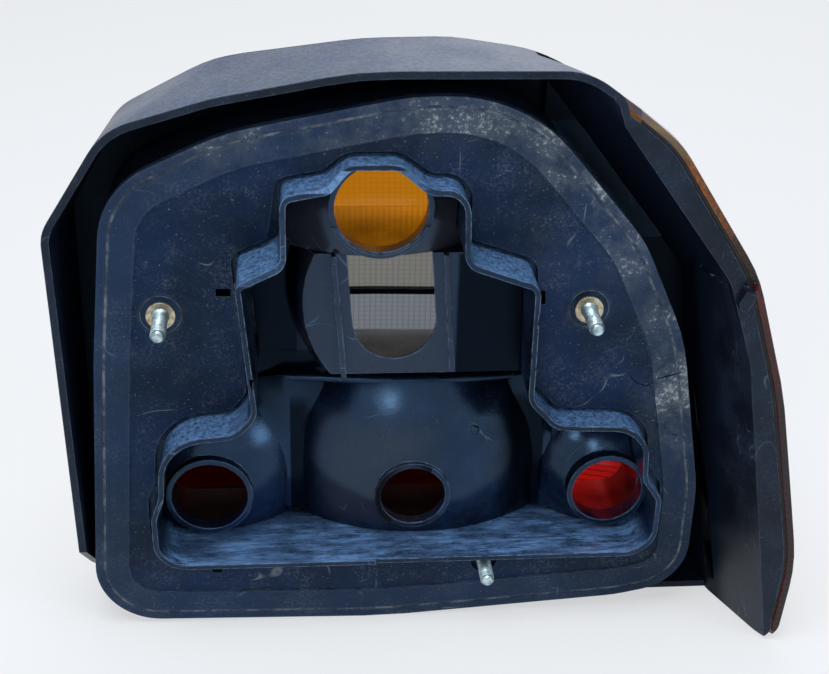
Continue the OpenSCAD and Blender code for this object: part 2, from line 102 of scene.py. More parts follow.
def srgb(red: int, green: int, blue: int) -> Colour:
    """Turn a colour written as it looks on a screen into the renderer's own.

    Args:
        red: The red part, 0 to 255.
        green: The green part, 0 to 255.
        blue: The blue part, 0 to 255.

    Returns:
        The three linear parts, 0 to 1.
    """

    def linear(part: int) -> float:
        """Return one part, made linear."""
        value = part / 255
        return value / 12.92 if value <= 0.04045 else ((value + 0.055) / 1.055) ** 2.4

    return linear(red), linear(green), linear(blue)


class Shader:
    """Writes the nodes of one material or node group."""

    def __init__(self, tree: bpy.types.NodeTree) -> None:
        """Start on an empty tree."""
        self.tree = tree
        self.tree.nodes.clear()

    def node(self, kind: str, **settings: Any) -> bpy.types.Node:
        """Add a node.

        Args:
            kind: The node's type, without the ShaderNode in front.
            settings: The node's own settings.

        Returns:
            The new node.
        """
        made = self.tree.nodes.new(f"ShaderNode{kind}")
        for name, value in settings.items():
            setattr(made, name, value)
        return made

    def feed(self, socket: Socket, source: Any) -> None:
        """Link a socket, or set its value.

        Args:
            socket: The input.
            source: Another node's output, a number, or a colour of three parts.
        """
        if isinstance(source, bpy.types.NodeSocket):
            self.tree.links.new(source, socket)
        elif isinstance(source, tuple) and socket.type == "RGBA":
            socket.default_value = (*source, 1.0)
        else:
            socket.default_value = source

    def maths(self, operation: str, first: Any, second: Any = 0.0, clamp: bool = False) -> Socket:
        """Return the result of one sum on numbers."""
        made = self.node("Math", operation=operation, use_clamp=clamp)
        self.feed(made.inputs[0], first)
        self.feed(made.inputs[1], second)
        return made.outputs[0]

    def times(self, first: Any, second: Any, clamp: bool = False) -> Socket:
        """Return the product of two numbers."""
        return self.maths("MULTIPLY", first, second, clamp)

    def plus(self, first: Any, second: Any) -> Socket:
        """Return the sum of two numbers."""
        return self.maths("ADD", first, second)

    def less(self, first: Any, second: Any) -> Socket:
        """Return the first number, less the second."""
        return self.maths("SUBTRACT", first, second)

    def most(self, first: Any, second: Any) -> Socket:
        """Return the larger of two numbers."""
        return self.maths("MAXIMUM", first, second)

    def blend(self, amount: Any, first: Any, second: Any) -> Socket:
        """Return the first colour, turning into the second as the amount goes from 0 to 1."""
        made = self.node("Mix", data_type="RGBA")
        self.feed(made.inputs[0], amount)
        self.feed(made.inputs[6], first)
        self.feed(made.inputs[7], second)
        return made.outputs[2]

    def between(self, value: Any, low: float, high: float, bottom: float = 0.0, top: float = 1.0) -> Socket:
        """Return a smooth step of the value.

        Args:
            value: What is measured.
            low: The value that gives bottom.
            high: The value that gives top.
            bottom: The result at low.
            top: The result at high.

        Returns:
            The step.
        """
        made = self.node("MapRange", interpolation_type="SMOOTHSTEP")
        for index, source in enumerate((value, low, high, bottom, top)):
            self.feed(made.inputs[index], source)
        return made.outputs[0]

    def place(
            self, scale: Sequence[float] = (1, 1, 1), turn: Sequence[float] = (0, 0, 0),
            at: Sequence[float] = (0, 0, 0)) -> Socket:
        """Return the point on the object, in metres, put through one scale, turn and shift."""
        point = self.node("TexCoord").outputs["Object"]
        mapping = self.node("Mapping")
        self.feed(mapping.inputs["Vector"], point)
        mapping.inputs["Scale"].default_value = scale
        mapping.inputs["Rotation"].default_value = turn
        mapping.inputs["Location"].default_value = at
        return mapping.outputs["Vector"]

    def noise(self, point: Socket, scale: Any, detail: float = 3.0, roughness: float = 0.55) -> Socket:
        """Return cloudy noise, 0 to 1, at a number of blotches per metre."""
        made = self.node("TexNoise")
        self.feed(made.inputs["Vector"], point)
        self.feed(made.inputs["Scale"], scale)
        made.inputs["Detail"].default_value = detail
        made.inputs["Roughness"].default_value = roughness
        return made.outputs["Fac"]

    def cloud(self, scale: Any, detail: float = 3.0, roughness: float = 0.55) -> Socket:
        """Return cloudy noise on the unscaled, unturned point."""
        return self.noise(self.place(), scale, detail, roughness)

    def axes(self) -> tuple[Socket, Socket, Socket]:
        """Return the point's three coordinates on the object, in metres."""
        split = self.node("SeparateXYZ")
        self.feed(split.inputs[0], self.node("TexCoord").outputs["Object"])
        return split.outputs[0], split.outputs[1], split.outputs[2]

    def facing(self) -> tuple[Socket, Socket, Socket]:
        """Return the three parts of the surface's direction."""
        split = self.node("SeparateXYZ")
        self.feed(split.inputs[0], self.node("NewGeometry").outputs["Normal"])
        return split.outputs[0], split.outputs[1], split.outputs[2]

    def zone(self, across: Sequence[float], up: Sequence[float]) -> Socket:
        """Return 1 inside a rectangle seen from the back, and a fade over its borders.

        Args:
            across: Where it starts, is full, begins to fade and ends, in metres.
            up: The same in height.

        Returns:
            The mask.
        """
        x, _, z = self.axes()
        mask: Any = 1.0
        for value, (start, full, fade, end) in ((x, across), (z, up)):
            mask = self.times(mask, self.between(value, start, full))
            mask = self.times(mask, self.between(value, end, fade))
        return mask

    def effect(self, name: "Effect", **values: Any) -> bpy.types.Node:
        """Place one of the shared effects, with its own values."""
        made = self.node("Group", node_tree=bpy.data.node_groups[name.value])
        for key, value in values.items():
            self.feed(made.inputs[key.replace("_", " ").capitalize()], value)
        return made


class Effect(Enum):
    """The shared effects, each one node group."""

    GRAIN = "moulded grain"
    DUST = "settled dust"
    WEAR_AND_HIGHLIGHT = "edge wear"
    HAIRLINES = "hairline scratches"
    OPTIC = "fine lens optic"


class Effects:
    """Builds the shared effects, once."""

    def build(self) -> None:
        """Build every group."""
        self.grain()
        self.dust()
        self.wear_and_highlight()
        self.hairlines()
        self.optic()

    def group(
            self, name: Effect, numbers: dict[str, float],
            outputs: Iterable[str]) -> tuple[Shader, dict[str, Socket], bpy.types.Node]:
        """Start a group.

        Args:
            name: The effect.
            numbers: Its inputs, each with its default.
            outputs: Its outputs, all numbers.

        Returns:
            The group's shader, its inputs by name, and its output node.
        """
        tree = bpy.data.node_groups.new(name.value, "ShaderNodeTree")
        for key, default in numbers.items():
            made = tree.interface.new_socket(key, in_out="INPUT", socket_type="NodeSocketFloat")
            made.default_value = default
        for key in outputs:
            tree.interface.new_socket(key, in_out="OUTPUT", socket_type="NodeSocketFloat")
        shader = Shader(tree)
        entry = tree.nodes.new("NodeGroupInput")
        leave = tree.nodes.new("NodeGroupOutput")
        return shader, {key: entry.outputs[key] for key in numbers}, leave

    def grain(self) -> None:
        """Build the fine skin and the slow waves of a moulding."""
        shader, inputs, leave = self.group(Effect.GRAIN, {"Scale": 1400.0, "Waves": 30.0}, ("Height", "Tone"))
        point = shader.place()
        fine = shader.noise(point, inputs["Scale"], 2.0)
        slow = shader.noise(point, inputs["Waves"], 3.0)
        shader.feed(leave.inputs["Height"], shader.plus(fine, shader.times(slow, 1.5)))
        shader.feed(leave.inputs["Tone"], slow)

    def dust(self) -> None:
        """Build dust that lies in clouds and specks, more on what faces up."""
        numbers = {"Amount": 0.3, "Specks": 0.3, "Upward": 0.5, "Scale": 60.0}
        shader, inputs, leave = self.group(Effect.DUST, numbers, ("Mask",))
        point = shader.place()
        clouds = shader.between(shader.noise(point, inputs["Scale"], 6.0, 0.7), 0.42, 0.72)
        fine = shader.between(shader.noise(point, 900.0, 2.0, 0.6), 0.4, 0.66)
        specks = shader.between(shader.noise(point, 1100.0, 1.0), 0.70, 0.76)
        up = shader.between(shader.facing()[2], -0.2, 0.8)
        lying = shader.blend(inputs["Upward"], (1.0, 1.0, 1.0), up)
        cloud = shader.times(shader.times(clouds, fine), inputs["Amount"])
        speck = shader.times(specks, inputs["Specks"])
        shader.feed(leave.inputs["Mask"], shader.times(shader.plus(cloud, speck), lying, clamp=True))

    def wear_and_highlight(self) -> None:
        """Build the mask for abraded edges, partly painted edge highlight, from how fast the surface turns there."""
        shader, inputs, leave = self.group(Effect.WEAR_AND_HIGHLIGHT, {"Radius": 0.0008, "Amount": 1.0}, ("Mask",))
        rounded = shader.node("Bevel", samples=4)
        shader.feed(rounded.inputs["Radius"], inputs["Radius"])
        alike = shader.node("VectorMath", operation="DOT_PRODUCT")
        shader.feed(alike.inputs[0], rounded.outputs["Normal"])
        shader.feed(alike.inputs[1], shader.node("NewGeometry").outputs["Normal"])
        turn = shader.between(shader.less(1.0, alike.outputs["Value"]), 0.01, 0.16)
        patchy = shader.between(shader.cloud(260.0, 3.0), 0.3, 0.62)
        shader.feed(leave.inputs["Mask"], shader.times(shader.times(turn, patchy), inputs["Amount"], clamp=True))

    def hairlines(self) -> None:
        """Build long thin scratches that come and go."""
        shader, inputs, leave = self.group(Effect.HAIRLINES, {"Amount": 0.5, "Scale": 26.0}, ("Mask",))
        total: Any = 0.0
        for turn, shift in ((0.5, 0.0), (-0.35, 0.31), (1.3, 0.74)):
            point = shader.place((1, 6, 1), (0.2, turn, turn * 0.6), (shift, shift, 0))
            line = shader.noise(point, inputs["Scale"], 1.0)
            thin = shader.between(shader.maths("ABSOLUTE", shader.less(line, 0.5)), 0.006, 0.0)
            seen = shader.between(shader.noise(shader.place(at=(shift, 0, shift)), 42.0, 2.0), 0.58, 0.7)
            total = shader.plus(total, shader.times(thin, seen))
        shader.feed(leave.inputs["Mask"], shader.times(total, inputs["Amount"], clamp=True))

    def optic(self) -> None:
        """Build rows and columns of small lenses, as a height and as the lines between them."""
        numbers = {"Across": 0.0014, "Up": 0.0014, "Rows": 1.0, "Columns": 1.0}
        shader, inputs, leave = self.group(Effect.OPTIC, numbers, ("Height", "Lines"))
        x, _, z = shader.axes()
        height: Any = 0.0
        lines: Any = 0.0
        for at, pitch, weight in ((x, inputs["Across"], inputs["Columns"]), (z, inputs["Up"], inputs["Rows"])):
            wave = shader.maths("SINE", shader.times(shader.maths("DIVIDE", at, pitch), math.tau))
            height = shader.plus(height, shader.times(wave, weight))
            edge = shader.times(shader.between(wave, 0.35, 1.0), weight)
            lines = shader.most(lines, edge)
        shader.feed(leave.inputs["Height"], height)
        shader.feed(leave.inputs["Lines"], lines)


@dataclass(frozen=True)
class Finish:
    """What every finish shares: a name, a Principled shader and how far its edges are rounded."""

    name: str
    rounding: float = 0.5 * MM

    def start(self) -> tuple[Shader, bpy.types.Node, bpy.types.Material]:
        """Start the material.

        Returns:
            The shader, its Principled node and the material.
        """
        made = bpy.data.materials.new(self.name)
        made.use_nodes = True
        shader = Shader(made.node_tree)
        surface = shader.node("BsdfPrincipled")
        shader.feed(shader.node("OutputMaterial").inputs["Surface"], surface.outputs["BSDF"])
        return shader, surface, made

    def relief(self, shader: Shader, surface: bpy.types.Node, height: Any, depth: float) -> None:
        """Give the surface a relief of that depth in metres, over softly rounded edges."""
        rounded = shader.node("Bevel", samples=4)
        rounded.inputs["Radius"].default_value = self.rounding
        bump = shader.node("Bump")
        shader.feed(bump.inputs["Normal"], rounded.outputs["Normal"])
        bump.inputs["Strength"].default_value = 1.0
        bump.inputs["Distance"].default_value = depth
        shader.feed(bump.inputs["Height"], height)
        shader.feed(surface.inputs["Normal"], bump.outputs["Normal"])


@dataclass(frozen=True)
class MouldedPlastic(Finish):
    """Black injection-moulded plastic with a cool sheen, dust, scratches and abraded edges, with painted light on high
    upward faces and as edge highlights, and painted shade deep inside.
    """

    dark: Colour = srgb(10, 14, 24)
    light: Colour = srgb(27, 38, 62)
    worn_and_highlit: Colour = srgb(96, 108, 128)
    dusty: Colour = srgb(116, 122, 128)
    rough: tuple[float, float] = (0.3, 0.5)
    sheen: Colour = (0.62, 0.8, 1.0)
    gloss: float = 0.4
    edge: float = 0.8
    dust: float = 0.25
    specks: float = 0.4
    scratches: float = 0.35
    grain: float = 0.00003
    # Painted light: the colour of high upward faces, a painted sheen from above.
    upward: Colour | None = None
    upward_from: float = 0.07
    # Painted shade: deep inside, and in the shaded zones, the colour turns to this hidden colour and the gloss fades.
    hidden: Colour = srgb(5, 7, 12)
    hidden_from: float = 4 * MM
    hidden_to: float = 22 * MM
    hidden_most: float = 0.94
    matt_inside: float = 0.85
    open_outside: bool = False
    middle_x: float = 20 * MM
    middle_z: float = -20 * MM
    inside_y: Step = (-4 * MM, 6 * MM)
    inward: Step = (4 * MM, -4 * MM)
    # Painted light: the colour painted onto the lit plates in the zones below.
    raised: Colour | None = None
    painted_light_zones: tuple[Zone, ...] = ()
    shaded_zones: tuple[Zone, ...] = ()
    # Scuffs on low upward faces, in a colour that is partly painted sheen.
    scuffs_and_sheen: Colour | None = None
    scuffed_below: float = -0.105

    def build(self) -> bpy.types.Material:
        """Build the material.

        Returns:
            The material.
        """
        shader, surface, made = self.start()
        skin = shader.effect(Effect.GRAIN)
        wear_and_highlight = shader.effect(Effect.WEAR_AND_HIGHLIGHT, amount=self.edge).outputs["Mask"]
        dust = shader.effect(Effect.DUST, amount=self.dust, specks=self.specks).outputs["Mask"]
        lines = shader.effect(Effect.HAIRLINES, amount=self.scratches).outputs["Mask"]
        tone = shader.between(skin.outputs["Tone"], 0.32, 0.68)
        colour = shader.blend(tone, self.dark, self.light)
        # Painted light: high upward faces turn to the upward colour, broken into patches by noise.
        if self.upward is not None:
            top = shader.between(shader.facing()[2], 0.2, 0.85)
            high = shader.between(shader.axes()[2], self.upward_from - 0.03, self.upward_from + 0.02)
            top_light_patches = shader.between(shader.cloud(500.0, 6.0, 0.8), 0.34, 0.66, 0.15, 1.0)
            painted_top_light = shader.times(shader.times(top, high), top_light_patches)
            colour = shader.blend(painted_top_light, colour, self.upward)
        x, y, z = shader.axes()
        # Painted light on the reflector's plates, zone by zone.
        for across, up in self.painted_light_zones:
            colour = shader.blend(shader.zone(across, up), colour, self.raised)
        # Scuffs streaked on low upward faces, in a bright blue that is partly painted sheen.
        if self.scuffs_and_sheen is not None:
            streak = shader.noise(shader.place((0.16, 1, 1)), 420.0, 6.0, 0.75)
            patch = shader.noise(shader.place((0.5, 1, 1)), 70.0, 4.0, 0.6)
            level = shader.between(shader.facing()[2], 0.4, 0.9)
            low = shader.times(shader.between(z, self.scuffed_below + 0.004, self.scuffed_below), level)
            scuff_and_sheen_mask = shader.times(shader.between(streak, 0.36, 0.66), shader.between(patch, 0.36, 0.62, 0.2, 1.0))
            colour = shader.blend(shader.times(scuff_and_sheen_mask, low), colour, self.scuffs_and_sheen)
        colour = shader.blend(dust, colour, self.dusty)
        # Abraded edges, partly painted edge highlight, in the bright edge colour.
        colour = shader.blend(wear_and_highlight, colour, self.worn_and_highlit)
        colour = shader.blend(lines, colour, self.worn_and_highlit)
        # Painted shade deep inside and in the shaded zones.
        deep = self.painted_depth_shade(shader, x, y, z)
        for across, up in self.shaded_zones:
            deep = shader.most(deep, shader.times(shader.zone(across, up), self.hidden_most))
        colour = shader.blend(deep, colour, self.hidden)
        shader.feed(surface.inputs["Base Color"], colour)
        rough = shader.between(skin.outputs["Tone"], 0.3, 0.7, *self.rough)
        rough = shader.maths("ADD", rough, shader.times(dust, 0.3), clamp=True)
        shader.feed(surface.inputs["Roughness"], rough)
        kept = shader.less(1.0, shader.times(deep, self.matt_inside))
        shader.feed(surface.inputs["Specular IOR Level"], shader.times(kept, self.gloss))
        surface.inputs["Specular Tint"].default_value = (*self.sheen, 1.0)
        self.relief(shader, surface, skin.outputs["Height"], self.grain)
        return made

    def painted_depth_shade(self, shader: Shader, x: Socket, y: Socket, z: Socket) -> Socket:
        """Return the painted shade deep inside, where the colour turns to the hidden colour and the gloss fades.
            x: The point across the lamp.
            y: The point's depth.
            z: The point's height.

        Returns:
            The mask.
        """
        deep = shader.between(y, self.hidden_from, self.hidden_to, 0.0, self.hidden_most)
        if not self.open_outside:
            return deep
        across, _, up = shader.facing()
        sideways = shader.times(across, shader.less(x, self.middle_x))
        outward = shader.plus(sideways, shader.times(up, shader.less(z, self.middle_z)))
        return shader.times(shader.between(y, *self.inside_y), shader.between(outward, *self.inward))


@dataclass(frozen=True)
class GasketFoam(Finish):
    """Dark closed-cell foam, with dust in its groove and along its upper and outboard border, lighter abraded edges
    that are partly painted highlight, and painted shade over its lower right.
    """

    dark: Colour = srgb(9, 17, 32)
    light: Colour = srgb(22, 39, 70)
    dusty: Colour = srgb(160, 164, 164)
    rim: Colour = srgb(60, 76, 98)
    border_y: Step = (0.7 * MM, 0.2 * MM)
    border_tone: float = 0.26
    shaded_patch_x: Step = (60 * MM, 115 * MM)
    shaded_patch_z: Step = (-70 * MM, -120 * MM)
    groove_in: Step = (0.25 * MM, 0.4 * MM)
    groove_out: Step = (0.65 * MM, 0.55 * MM)
    corner_x: Step = (20 * MM, 75 * MM)
    corner_z: Step = (-20 * MM, 45 * MM)
    right_x: Step = (100 * MM, 116 * MM)
    right_z: Step = (-120 * MM, -30 * MM)
    top_z: Step = (45 * MM, 80 * MM)
    gloss: float = 0.26
    sheen: Colour = (0.4, 0.68, 1.0)

    def build(self) -> bpy.types.Material:
        """Build the material.

        Returns:
            The material.
        """
        shader, surface, made = self.start()
        x, y, z = shader.axes()
        skin = shader.effect(Effect.GRAIN, scale=1700.0, waves=22.0)
        colour = shader.blend(shader.between(skin.outputs["Tone"], 0.3, 0.7), self.dark, self.light)
        cells = shader.between(shader.cloud(2400.0, 1.0), 0.4, 0.7)
        colour = shader.blend(shader.times(cells, 0.35), colour, self.light)
        # Abraded edges, partly painted edge highlight, in the rim colour.
        wear_and_highlight = shader.effect(Effect.WEAR_AND_HIGHLIGHT, radius=0.0016, amount=0.8).outputs["Mask"]
        colour = shader.blend(wear_and_highlight, colour, self.rim)
        border = shader.between(y, *self.border_y)
        colour = shader.blend(shader.times(border, self.border_tone), colour, self.rim)
        # Painted shade over the lower right.
        shaded_patch = shader.times(shader.between(z, *self.shaded_patch_z), shader.between(x, *self.shaded_patch_x))
        colour = shader.blend(shader.times(shaded_patch, 0.6), colour, self.dark)
        groove = shader.times(shader.between(y, *self.groove_in), shader.between(y, *self.groove_out))
        blown = shader.cloud(34.0, 8.0, 0.72)
        corner = shader.times(shader.between(x, *self.corner_x), shader.between(z, *self.corner_z))
        right = shader.times(shader.between(x, *self.right_x), shader.between(z, *self.right_z))
        top = shader.times(shader.between(z, *self.top_z), 0.8)
        where = shader.most(shader.most(corner, right), top)
        amount = shader.times(where, shader.between(blown, 0.4, 0.62))
        amount = shader.times(amount, shader.between(border, 0.0, 1.0, 0.3, 1.0))
        crumbs = shader.cloud(520.0, 8.0, 0.78)
        reach = shader.less(0.64, shader.times(amount, 0.2))
        cloud = shader.times(shader.less(crumbs, reach), 9.0, clamp=True)
        cloud = shader.most(cloud, shader.times(amount, 0.22))
        broken = shader.between(shader.cloud(90.0, 6.0, 0.75), 0.42, 0.64, 0.08, 0.6)
        line = shader.times(groove, broken)
        stray = shader.effect(Effect.DUST, amount=0.14, specks=0.45, upward=0.0, scale=46.0).outputs["Mask"]
        lines = shader.effect(Effect.HAIRLINES, amount=0.42, scale=30.0).outputs["Mask"]
        dust = shader.most(shader.most(cloud, line), shader.most(stray, lines))
        shader.feed(surface.inputs["Base Color"], shader.blend(dust, colour, self.dusty))
        shader.feed(surface.inputs["Roughness"], shader.between(skin.outputs["Tone"], 0.3, 0.7, 0.42, 0.62))
        surface.inputs["Specular IOR Level"].default_value = self.gloss
        surface.inputs["Specular Tint"].default_value = (*self.sheen, 1.0)
        self.relief(shader, surface, skin.outputs["Height"], 0.00006)
        return made


class Pattern(Enum):
    """How the small lenses inside a lens lie."""

    GRID = "grid"
    MIXED = "grid above, flutes below"
    RIBS = "ribs"


FINE = (2.4 * MM, 2.2 * MM)
COARSE = (4.0 * MM, 3.0 * MM)


@dataclass(frozen=True)
class LensPlastic(Finish):
    """Coloured clear plastic with fine optics: a band of another tone, a wing in painted shade with grimy noise, a
    painted glint and a corner painted black as shade.
    """

    body: Colour = srgb(250, 150, 10)
    deep: Colour = srgb(190, 90, 0)
    other: Colour = srgb(250, 150, 10)
    shade: Colour = srgb(70, 36, 14)
    glint: Colour | None = None
    pattern: Pattern = Pattern.GRID
    pitch: tuple[float, float] = (0.0012, 0.0012)
    line_depth: float = 0.45
    relief_depth: float = 0.00002
    rough: float = 0.12
    clear: float = 1.0
    ior: float = 1.49
    # Painted shade: a corner of the lens painted black.
    shaded_corner: Zone | None = None
    shaded_corner_y: Step = (48 * MM, 45 * MM)
    band_z: Step = (-18 * MM, -16 * MM)
    outboard_x: Step = (78 * MM, 88 * MM)
    wing_x: Step = (66 * MM, 80 * MM)
    wing_y: Step = (56 * MM, 40 * MM)
    glint_y: Step = (45 * MM, 36 * MM)
    glint_z: Step = (64 * MM, 70 * MM)

    def build(self) -> bpy.types.Material:
        """Build the material.

        Returns:
            The material.
        """
        shader, surface, made = self.start()
        x, y, z = shader.axes()
        rows = 0.7 if self.pattern is Pattern.MIXED else 1.0
        columns = 0.15 if self.pattern is Pattern.RIBS else 1.0
        optic = shader.effect(Effect.OPTIC, across=self.pitch[0], up=self.pitch[1], rows=rows, columns=columns)
        near = shader.less(1.0, shader.node("NewGeometry").outputs["Backfacing"])
        lines = shader.times(optic.outputs["Lines"], near)
        colour = shader.blend(shader.times(lines, self.line_depth), self.body, self.deep)
        cloud = shader.cloud(24.0, 3.0)
        colour = shader.blend(shader.times(shader.between(cloud, 0.35, 0.7), 0.3), colour, self.deep)
        if self.pattern is Pattern.MIXED:
            grid = shader.blend(shader.times(lines, self.line_depth), self.other, self.deep)
            colour = shader.blend(shader.between(z, *self.band_z), colour, grid)
        if self.pattern is Pattern.RIBS:
            outboard = shader.between(x, *self.outboard_x)
            inner = shader.blend(shader.times(lines, 0.8), self.other, self.deep)
            colour = shader.blend(outboard, colour, inner)
        # Painted shade: the wing turns to the shade colour, broken up by grimy noise.
        wing = shader.times(shader.between(x, *self.wing_x), shader.between(y, *self.wing_y))
        grime_and_shade = shader.between(shader.cloud(700.0, 3.0), 0.36, 0.62, 0.6, 1.0)
        colour = shader.blend(shader.times(wing, grime_and_shade), colour, self.shade)
        if self.glint is not None:
            corner = shader.times(shader.between(z, *self.glint_z), shader.between(y, *self.glint_y))
            colour = shader.blend(corner, colour, self.glint)
        # Painted shade: one corner turns black.
        if self.shaded_corner is not None:
            corner = shader.times(shader.zone(*self.shaded_corner), shader.between(y, *self.shaded_corner_y))
            colour = shader.blend(corner, colour, (0.0, 0.0, 0.0))
        shader.feed(surface.inputs["Base Color"], colour)
        surface.inputs["Roughness"].default_value = self.rough
        surface.inputs["IOR"].default_value = self.ior
        surface.inputs["Transmission Weight"].default_value = self.clear
        self.relief(shader, surface, shader.times(optic.outputs["Height"], near), self.relief_depth)
        return made


@dataclass(frozen=True)
class PlatedSteel(Finish):
    """Zinc-plated steel, brushed round and slightly tarnished."""

    bright: Colour = srgb(196, 206, 204)
    dull: Colour = srgb(120, 128, 126)
    stain: Colour = srgb(150, 138, 112)
    stained: float = 0.25
    metallic: float = 0.85

    def build(self) -> bpy.types.Material:
        """Build the material.

        Returns:
            The material.
        """
        shader, surface, made = self.start()
        point = shader.place()
        cloud = shader.noise(point, 420.0, 4.0, 0.6)
        colour = shader.blend(shader.between(cloud, 0.35, 0.7), self.bright, self.dull)
        blot = shader.times(shader.between(shader.noise(point, 160.0, 3.0), 0.42, 0.66), self.stained)
        colour = shader.blend(blot, colour, self.stain)
        shader.feed(surface.inputs["Base Color"], colour)
        surface.inputs["Metallic"].default_value = self.metallic
        shader.feed(surface.inputs["Roughness"], shader.between(cloud, 0.3, 0.7, 0.28, 0.46))
        self.relief(shader, surface, shader.noise(point, 3200.0, 2.0), 0.00002)
        return made


@dataclass(frozen=True)
class Sealant(Finish):
    """Black sealing compound with a lumpy skin."""

    dark: Colour = srgb(8, 9, 12)
    light: Colour = srgb(24, 27, 33)

    def build(self) -> bpy.types.Material:
        """Build the material.

        Returns:
            The material.
        """
        shader, surface, made = self.start()
        lump = shader.cloud(340.0, 4.0)
        dust = shader.effect(Effect.DUST, amount=0.12, specks=0.2).outputs["Mask"]
        colour = shader.blend(shader.between(lump, 0.35, 0.7), self.dark, self.light)
        shader.feed(surface.inputs["Base Color"], shader.blend(dust, colour, srgb(110, 112, 112)))
        shader.feed(surface.inputs["Roughness"], shader.between(lump, 0.3, 0.7, 0.45, 0.75))
        self.relief(shader, surface, lump, 0.00015)
        return made


FINISHES: dict[str, Any] = {
    # Painted light and shade: the upward colour is a painted sheen on high upward faces, and hidden is painted shade on
    # the inner faces of the channel.
    "shroud_plastic": MouldedPlastic(
        "shroud plastic", dark=srgb(8, 12, 22), light=srgb(20, 28, 44), upward=srgb(74, 92, 124),
        dusty=srgb(140, 146, 152), rough=(0.32, 0.44), gloss=0.34, edge=0.6, dust=0.12, specks=0.3, scratches=0.5,
        hidden=srgb(16, 23, 36), open_outside=True),
    # Painted light and shade: the upward colour and the blue of the scuffs are painted sheen on upward faces, the
    # bright edge colour is partly painted edge highlight, and hidden with the shaded zones is painted shade.
    "housing_plastic": MouldedPlastic(
        "housing plastic", dark=srgb(6, 11, 22), light=srgb(20, 34, 60), upward=srgb(104, 144, 192), upward_from=-0.1,
        worn_and_highlit=srgb(128, 150, 182), specks=0.35, edge=1.0, dust=0.2, rough=(0.22, 0.36), sheen=(0.4, 0.7, 1.0),
        hidden_from=14 * MM, hidden_to=34 * MM, scuffs_and_sheen=srgb(122, 166, 220), shaded_zones=(
            ((-0.13, -0.12, 0.16, 0.17), (0.067, 0.0695, 0.1, 0.11)),
            ((-0.14, -0.13, -0.064, -0.06), (0.02, 0.024, 0.1, 0.11)))),
    "gasket_foam": GasketFoam("gasket foam"),
    # Painted light and shade: the raised colour in its zones is painted light on the lit plates, the bright edge colour
    # is partly painted edge highlight, and hidden with the shaded zones is painted shade.
    "reflector_plastic": MouldedPlastic(
        "reflector plastic", dark=srgb(6, 12, 24), light=srgb(18, 33, 60), worn_and_highlit=srgb(120, 144, 176),
        raised=srgb(40, 40, 47), painted_light_zones=(
            ((-0.07, -0.06, 0.06, 0.07), (0.0205, 0.0225, 0.08, 0.09)),
            ((-0.0303, -0.0287, 0.0307, 0.0323), (-0.037, -0.035, 0.02, 0.022)),
            ((-0.03, -0.012, 0.012, 0.034), (-0.112, -0.1, -0.07, -0.05))),
        shaded_zones=(
            ((0.0317, 0.0333, 0.07, 0.08), (-0.0405, -0.0395, 0.02, 0.022)),
            ((-0.08, -0.07, -0.0318, -0.0302), (-0.042, -0.041, 0.02, 0.022)),
            ((-0.0352, -0.0344, -0.03, -0.019), (-0.114, -0.104, -0.058, -0.046)),
            ((0.05, 0.062, 0.0736, 0.0746), (-0.114, -0.104, -0.058, -0.046))),
        rough=(0.12, 0.2), gloss=0.6, sheen=(0.32, 0.6, 1.0), dust=0.1, specks=0.25, scratches=0.35, edge=0.8,
        grain=0.00005, rounding=1.1 * MM, hidden=srgb(4, 7, 14), hidden_from=20 * MM, hidden_to=36 * MM),
    # Painted shade on the amber wing, and a painted glint at its upper corner.
    "amber_lens": LensPlastic(
        "amber lens", body=srgb(204, 140, 5), deep=srgb(172, 104, 0), shade=srgb(84, 46, 20),
        glint=srgb(150, 172, 214), pitch=FINE, rough=0.38, line_depth=0.55),
    "clear_lens": LensPlastic(
        "clear lens", body=srgb(92, 94, 100), deep=srgb(56, 58, 66), other=srgb(96, 90, 74), pattern=Pattern.MIXED,
        pitch=FINE, rough=0.45, line_depth=0.75),
    # Painted shade: the inner red lens is near-black except outboard, its wing is painted darker and one corner is
    # painted black.
    "red_lens": LensPlastic(
        "red lens", shade=srgb(36, 40, 52), body=srgb(1, 0, 0), deep=srgb(1, 0, 0), other=srgb(236, 46, 4),
        pattern=Pattern.RIBS, pitch=COARSE, rough=0.2, line_depth=0.8, relief_depth=0.00005,
        shaded_corner=((0.128, 0.13, 0.1535, 0.154), (-0.15, -0.149, -0.07, -0.06))),
    "sealant": Sealant("sealant"),
    "reflex_red": LensPlastic(
        "reflex prisms", body=srgb(190, 14, 14), deep=srgb(110, 4, 6), pitch=(0.0026, 0.0026), rough=0.1),
    "zinc_steel": PlatedSteel("zinc plate", bright=srgb(198, 222, 228), dull=srgb(120, 142, 150), stained=0.2),
    "washer_steel": PlatedSteel("washer plate", bright=srgb(204, 194, 168), dull=srgb(148, 136, 112), stained=0.4),
}


def outside(name: str, **values: Any) -> LensPlastic:
    """Return the smooth outer finish of a lens."""
    return LensPlastic(f"{name} outside", rough=0.08, **values)


